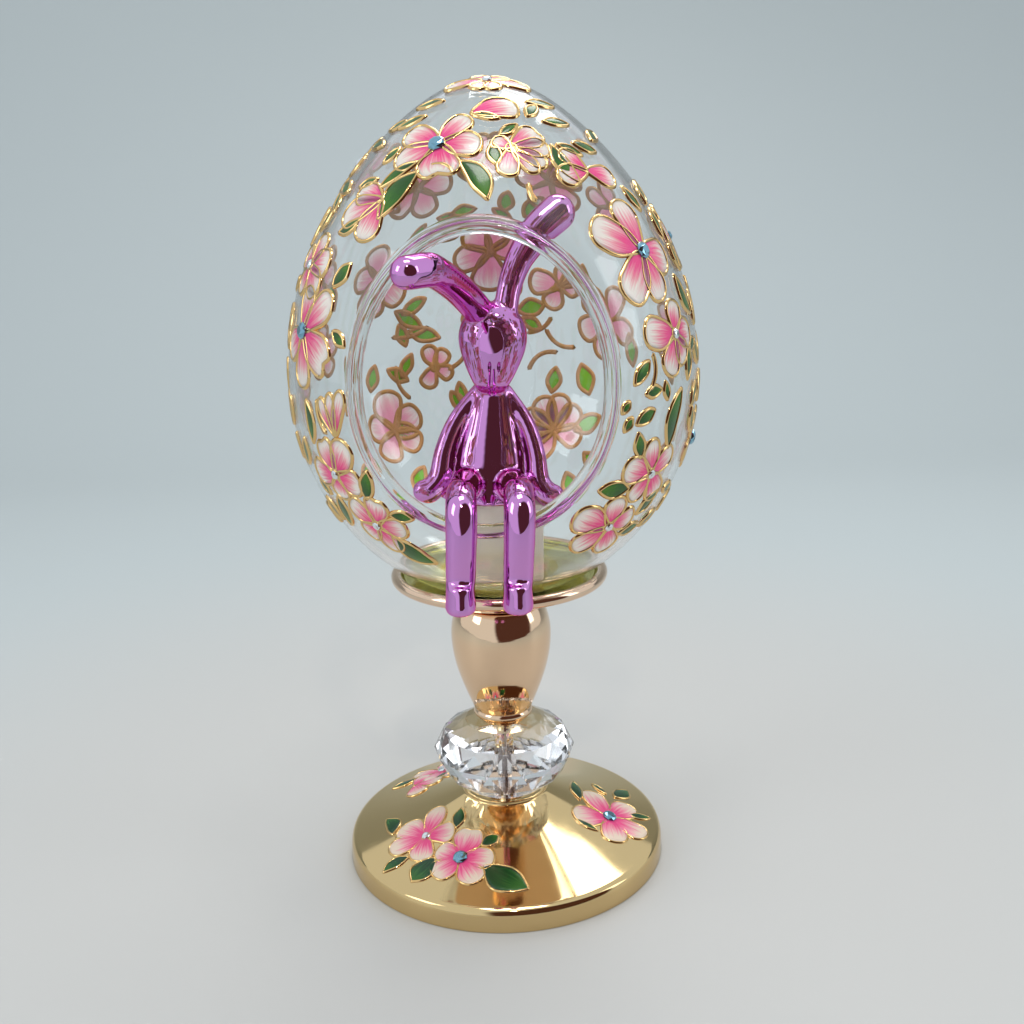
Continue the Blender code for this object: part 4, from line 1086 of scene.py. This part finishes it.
def base_normal(points):
    """The outward direction of the base's slope, from its rise over a short step."""
    share = base_share(points)
    before, after = base_slope(share - 0.001), base_slope(share + 0.001)
    slope = (after[1] - before[1]) / (after[0] - before[0])
    radius = np.hypot(points[..., 0], points[..., 1])
    level = -slope[..., None] * points[..., :2] / radius[..., None]
    normal = np.concatenate([level, 1 + 0 * level[..., :1]], axis=-1)
    return normal / np.linalg.norm(normal, axis=-1, keepdims=True)


def base_place(angle, share):
    """The spot on the base's slope at an angle and a share of the way up."""
    return spot_at(angle, *base_slope(share), base_normal)


def laid_on_base(spot, along, across, direction, lift):
    """Flat places beside a spot, laid onto the base's slope and lifted off it by the given heights."""
    points = beside_spot(spot, along, across, direction)
    points[..., 2] = base_slope(base_share(points))[1]
    return points + lift[..., None] * base_normal(points)


pale_glaze = glaze(
    "pale petal glaze", base=(0.85, 0.07, 0.25), middle=(0.88, 0.32, 0.40), tip=(0.84, 0.68, 0.54),
    below=(1.0, 1.0, 1.0), backlit_share=0.0, clearness=0.1, milkiness=0.0,
)
deep_glaze = glaze(
    "deep leaf glaze", base=(0.008, 0.05, 0.012), middle=(0.01, 0.07, 0.015), tip=(0.03, 0.13, 0.02),
    below=(1.0, 1.0, 1.0), backlit_share=0.0, clearness=0.1, milkiness=0.0,
)
materials = (pale_glaze, deep_glaze)
spray("base", BASE_FLOWERS, BASE_LEAVES, base_place, laid_on_base, BASE_OUTLINE_THICKNESS, materials)


# Stones. Cut glass backed with foil and glued on at the hearts of blossoms. Each has a flat table, two rows
# of facets and a girdle, and replaces its plain solid. The further ones have no solid.
STONE_FACETS = 8
STONE_FOOT = 0.30 * MM
STONE_GIRDLE = 0.80 * MM
BIG_STONE_RADIUS = 2.4 * MM
SMALL_STONE_RADIUS = 1.4 * MM
STONE_BACK = 0.9
AQUA = (0.22, 0.46, 0.60)
CLEAR = (0.86, 0.90, 0.92)

# From the table down: radius and rise over the girdle, as shares of the stone's radius, and turn in facets.
STONE_CUT = [(0.50, 0.42, 0.0), (0.80, 0.27, 0.5), (1.0, 0.04, 0.0), (1.0, -0.04, 0.0)]

# Node of the solid, angle, share of the egg's or base's height, whether big, and whether aqua.
EGG_STONES = [
    ("egg_stone_crown_front", -23, 0.872, True, True),
    ("egg_stone_crown_tip", 2, 0.986, False, False),
    ("egg_stone_right_upper", 49, 0.687, True, True),
    ("egg_stone_right_middle", 55, 0.542, False, False),
    ("egg_stone_right_edge", 80, 0.324, True, True),
    ("egg_stone_right_back", 98, 0.225, True, True),
    ("egg_stone_right_lower", 47, 0.297, False, False),
    ("egg_stone_right_bottom", 36, 0.205, False, False),
    ("egg_stone_left_upper", -66, 0.674, False, False),
    ("egg_stone_left_middle", -60, 0.561, True, True),
    ("egg_stone_left_edge", -92, 0.535, False, True),
    ("egg_stone_left_lower", -49, 0.310, False, False),
    ("egg_stone_left_bottom", -39, 0.218, False, False),
    ("egg_stone_left_crown", -96, 0.850, True, False),
    ("egg_stone_back_upper", 181, 0.680, True, True),
    ("egg_stone_back_right_low", 158, 0.265, True, True),
]
# Angle, height in millimetres, and whether aqua, of the small stones that have no solid of their own.
FURTHER_STONES = [
    (-139, 183, False), (-142, 132, False), (139, 167, True), (-112, 162, False), (122, 205, False),
    (178, 222, False), (150, 213, True), (-146, 212, True), (-104, 187, False), (108, 166, False),
    (84, 196, True), (-172, 116, False),
]
BASE_STONES = [
    ("base_stone_front_left", -53, 0.50, False, False),
    ("base_stone_front", -25, 0.44, True, True),
    ("base_stone_right", 75, 0.42, True, True),
    ("base_stone_back_left", -140, 0.46, True, False),
]


def foil_backed(name, colour):
    """Foil-backed glass: the foil's colour under a clear polished surface."""
    return new_material(name, colour, 0.06, Metallic=1.0, Coat_Weight=1.0, Coat_Roughness=0.0)[0]


def cut_stone(name, spot, big, aqua):
    """One stone on a spot, its facets flat, from the table down to its back."""
    radius = BIG_STONE_RADIUS if big else SMALL_STONE_RADIUS
    centre, level, rising = spot
    outward = np.cross(level, rising)
    rings = []
    cut = [(share * radius, STONE_GIRDLE + rise * radius, turned) for share, rise, turned in STONE_CUT]
    for ring_radius, lift, turned in cut + [(STONE_BACK * radius, STONE_FOOT, 0.0)]:
        angles = (np.arange(STONE_FACETS)[:, None] + turned) * math.tau / STONE_FACETS
        flat = ring_radius * (np.cos(angles) * level + np.sin(angles) * rising)
        rings.append(centre + flat + lift * outward)
    stone = skin(name, np.array(rings))
    stone.data.shade_flat()
    dress(stone, aqua_foil if aqua else clear_foil)
    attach(stone, "root")
    return stone


def set_stone(node, spot, big, aqua):
    """A cut stone in place of that node's plain solid."""
    stone = cut_stone(node.replace("_stone_", "_cut_stone_"), spot, big, aqua)
    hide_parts(node)


aqua_foil = foil_backed("aqua stone", AQUA)
clear_foil = foil_backed("clear stone", CLEAR)
for node, angle, share, big, aqua in EGG_STONES:
    height = egg_bottom + share * (EGG_LOWER_HEIGHT + EGG_UPPER_HEIGHT)
    set_stone(node, egg_place(angle, height / MM), big, aqua)
for number, (angle, height, aqua) in enumerate(FURTHER_STONES, 1):
    cut_stone(f"egg_further_stone_{number}", egg_place(angle, height), False, aqua)
for node, angle, share, big, aqua in BASE_STONES:
    set_stone(node, base_place(angle, share), big, aqua)
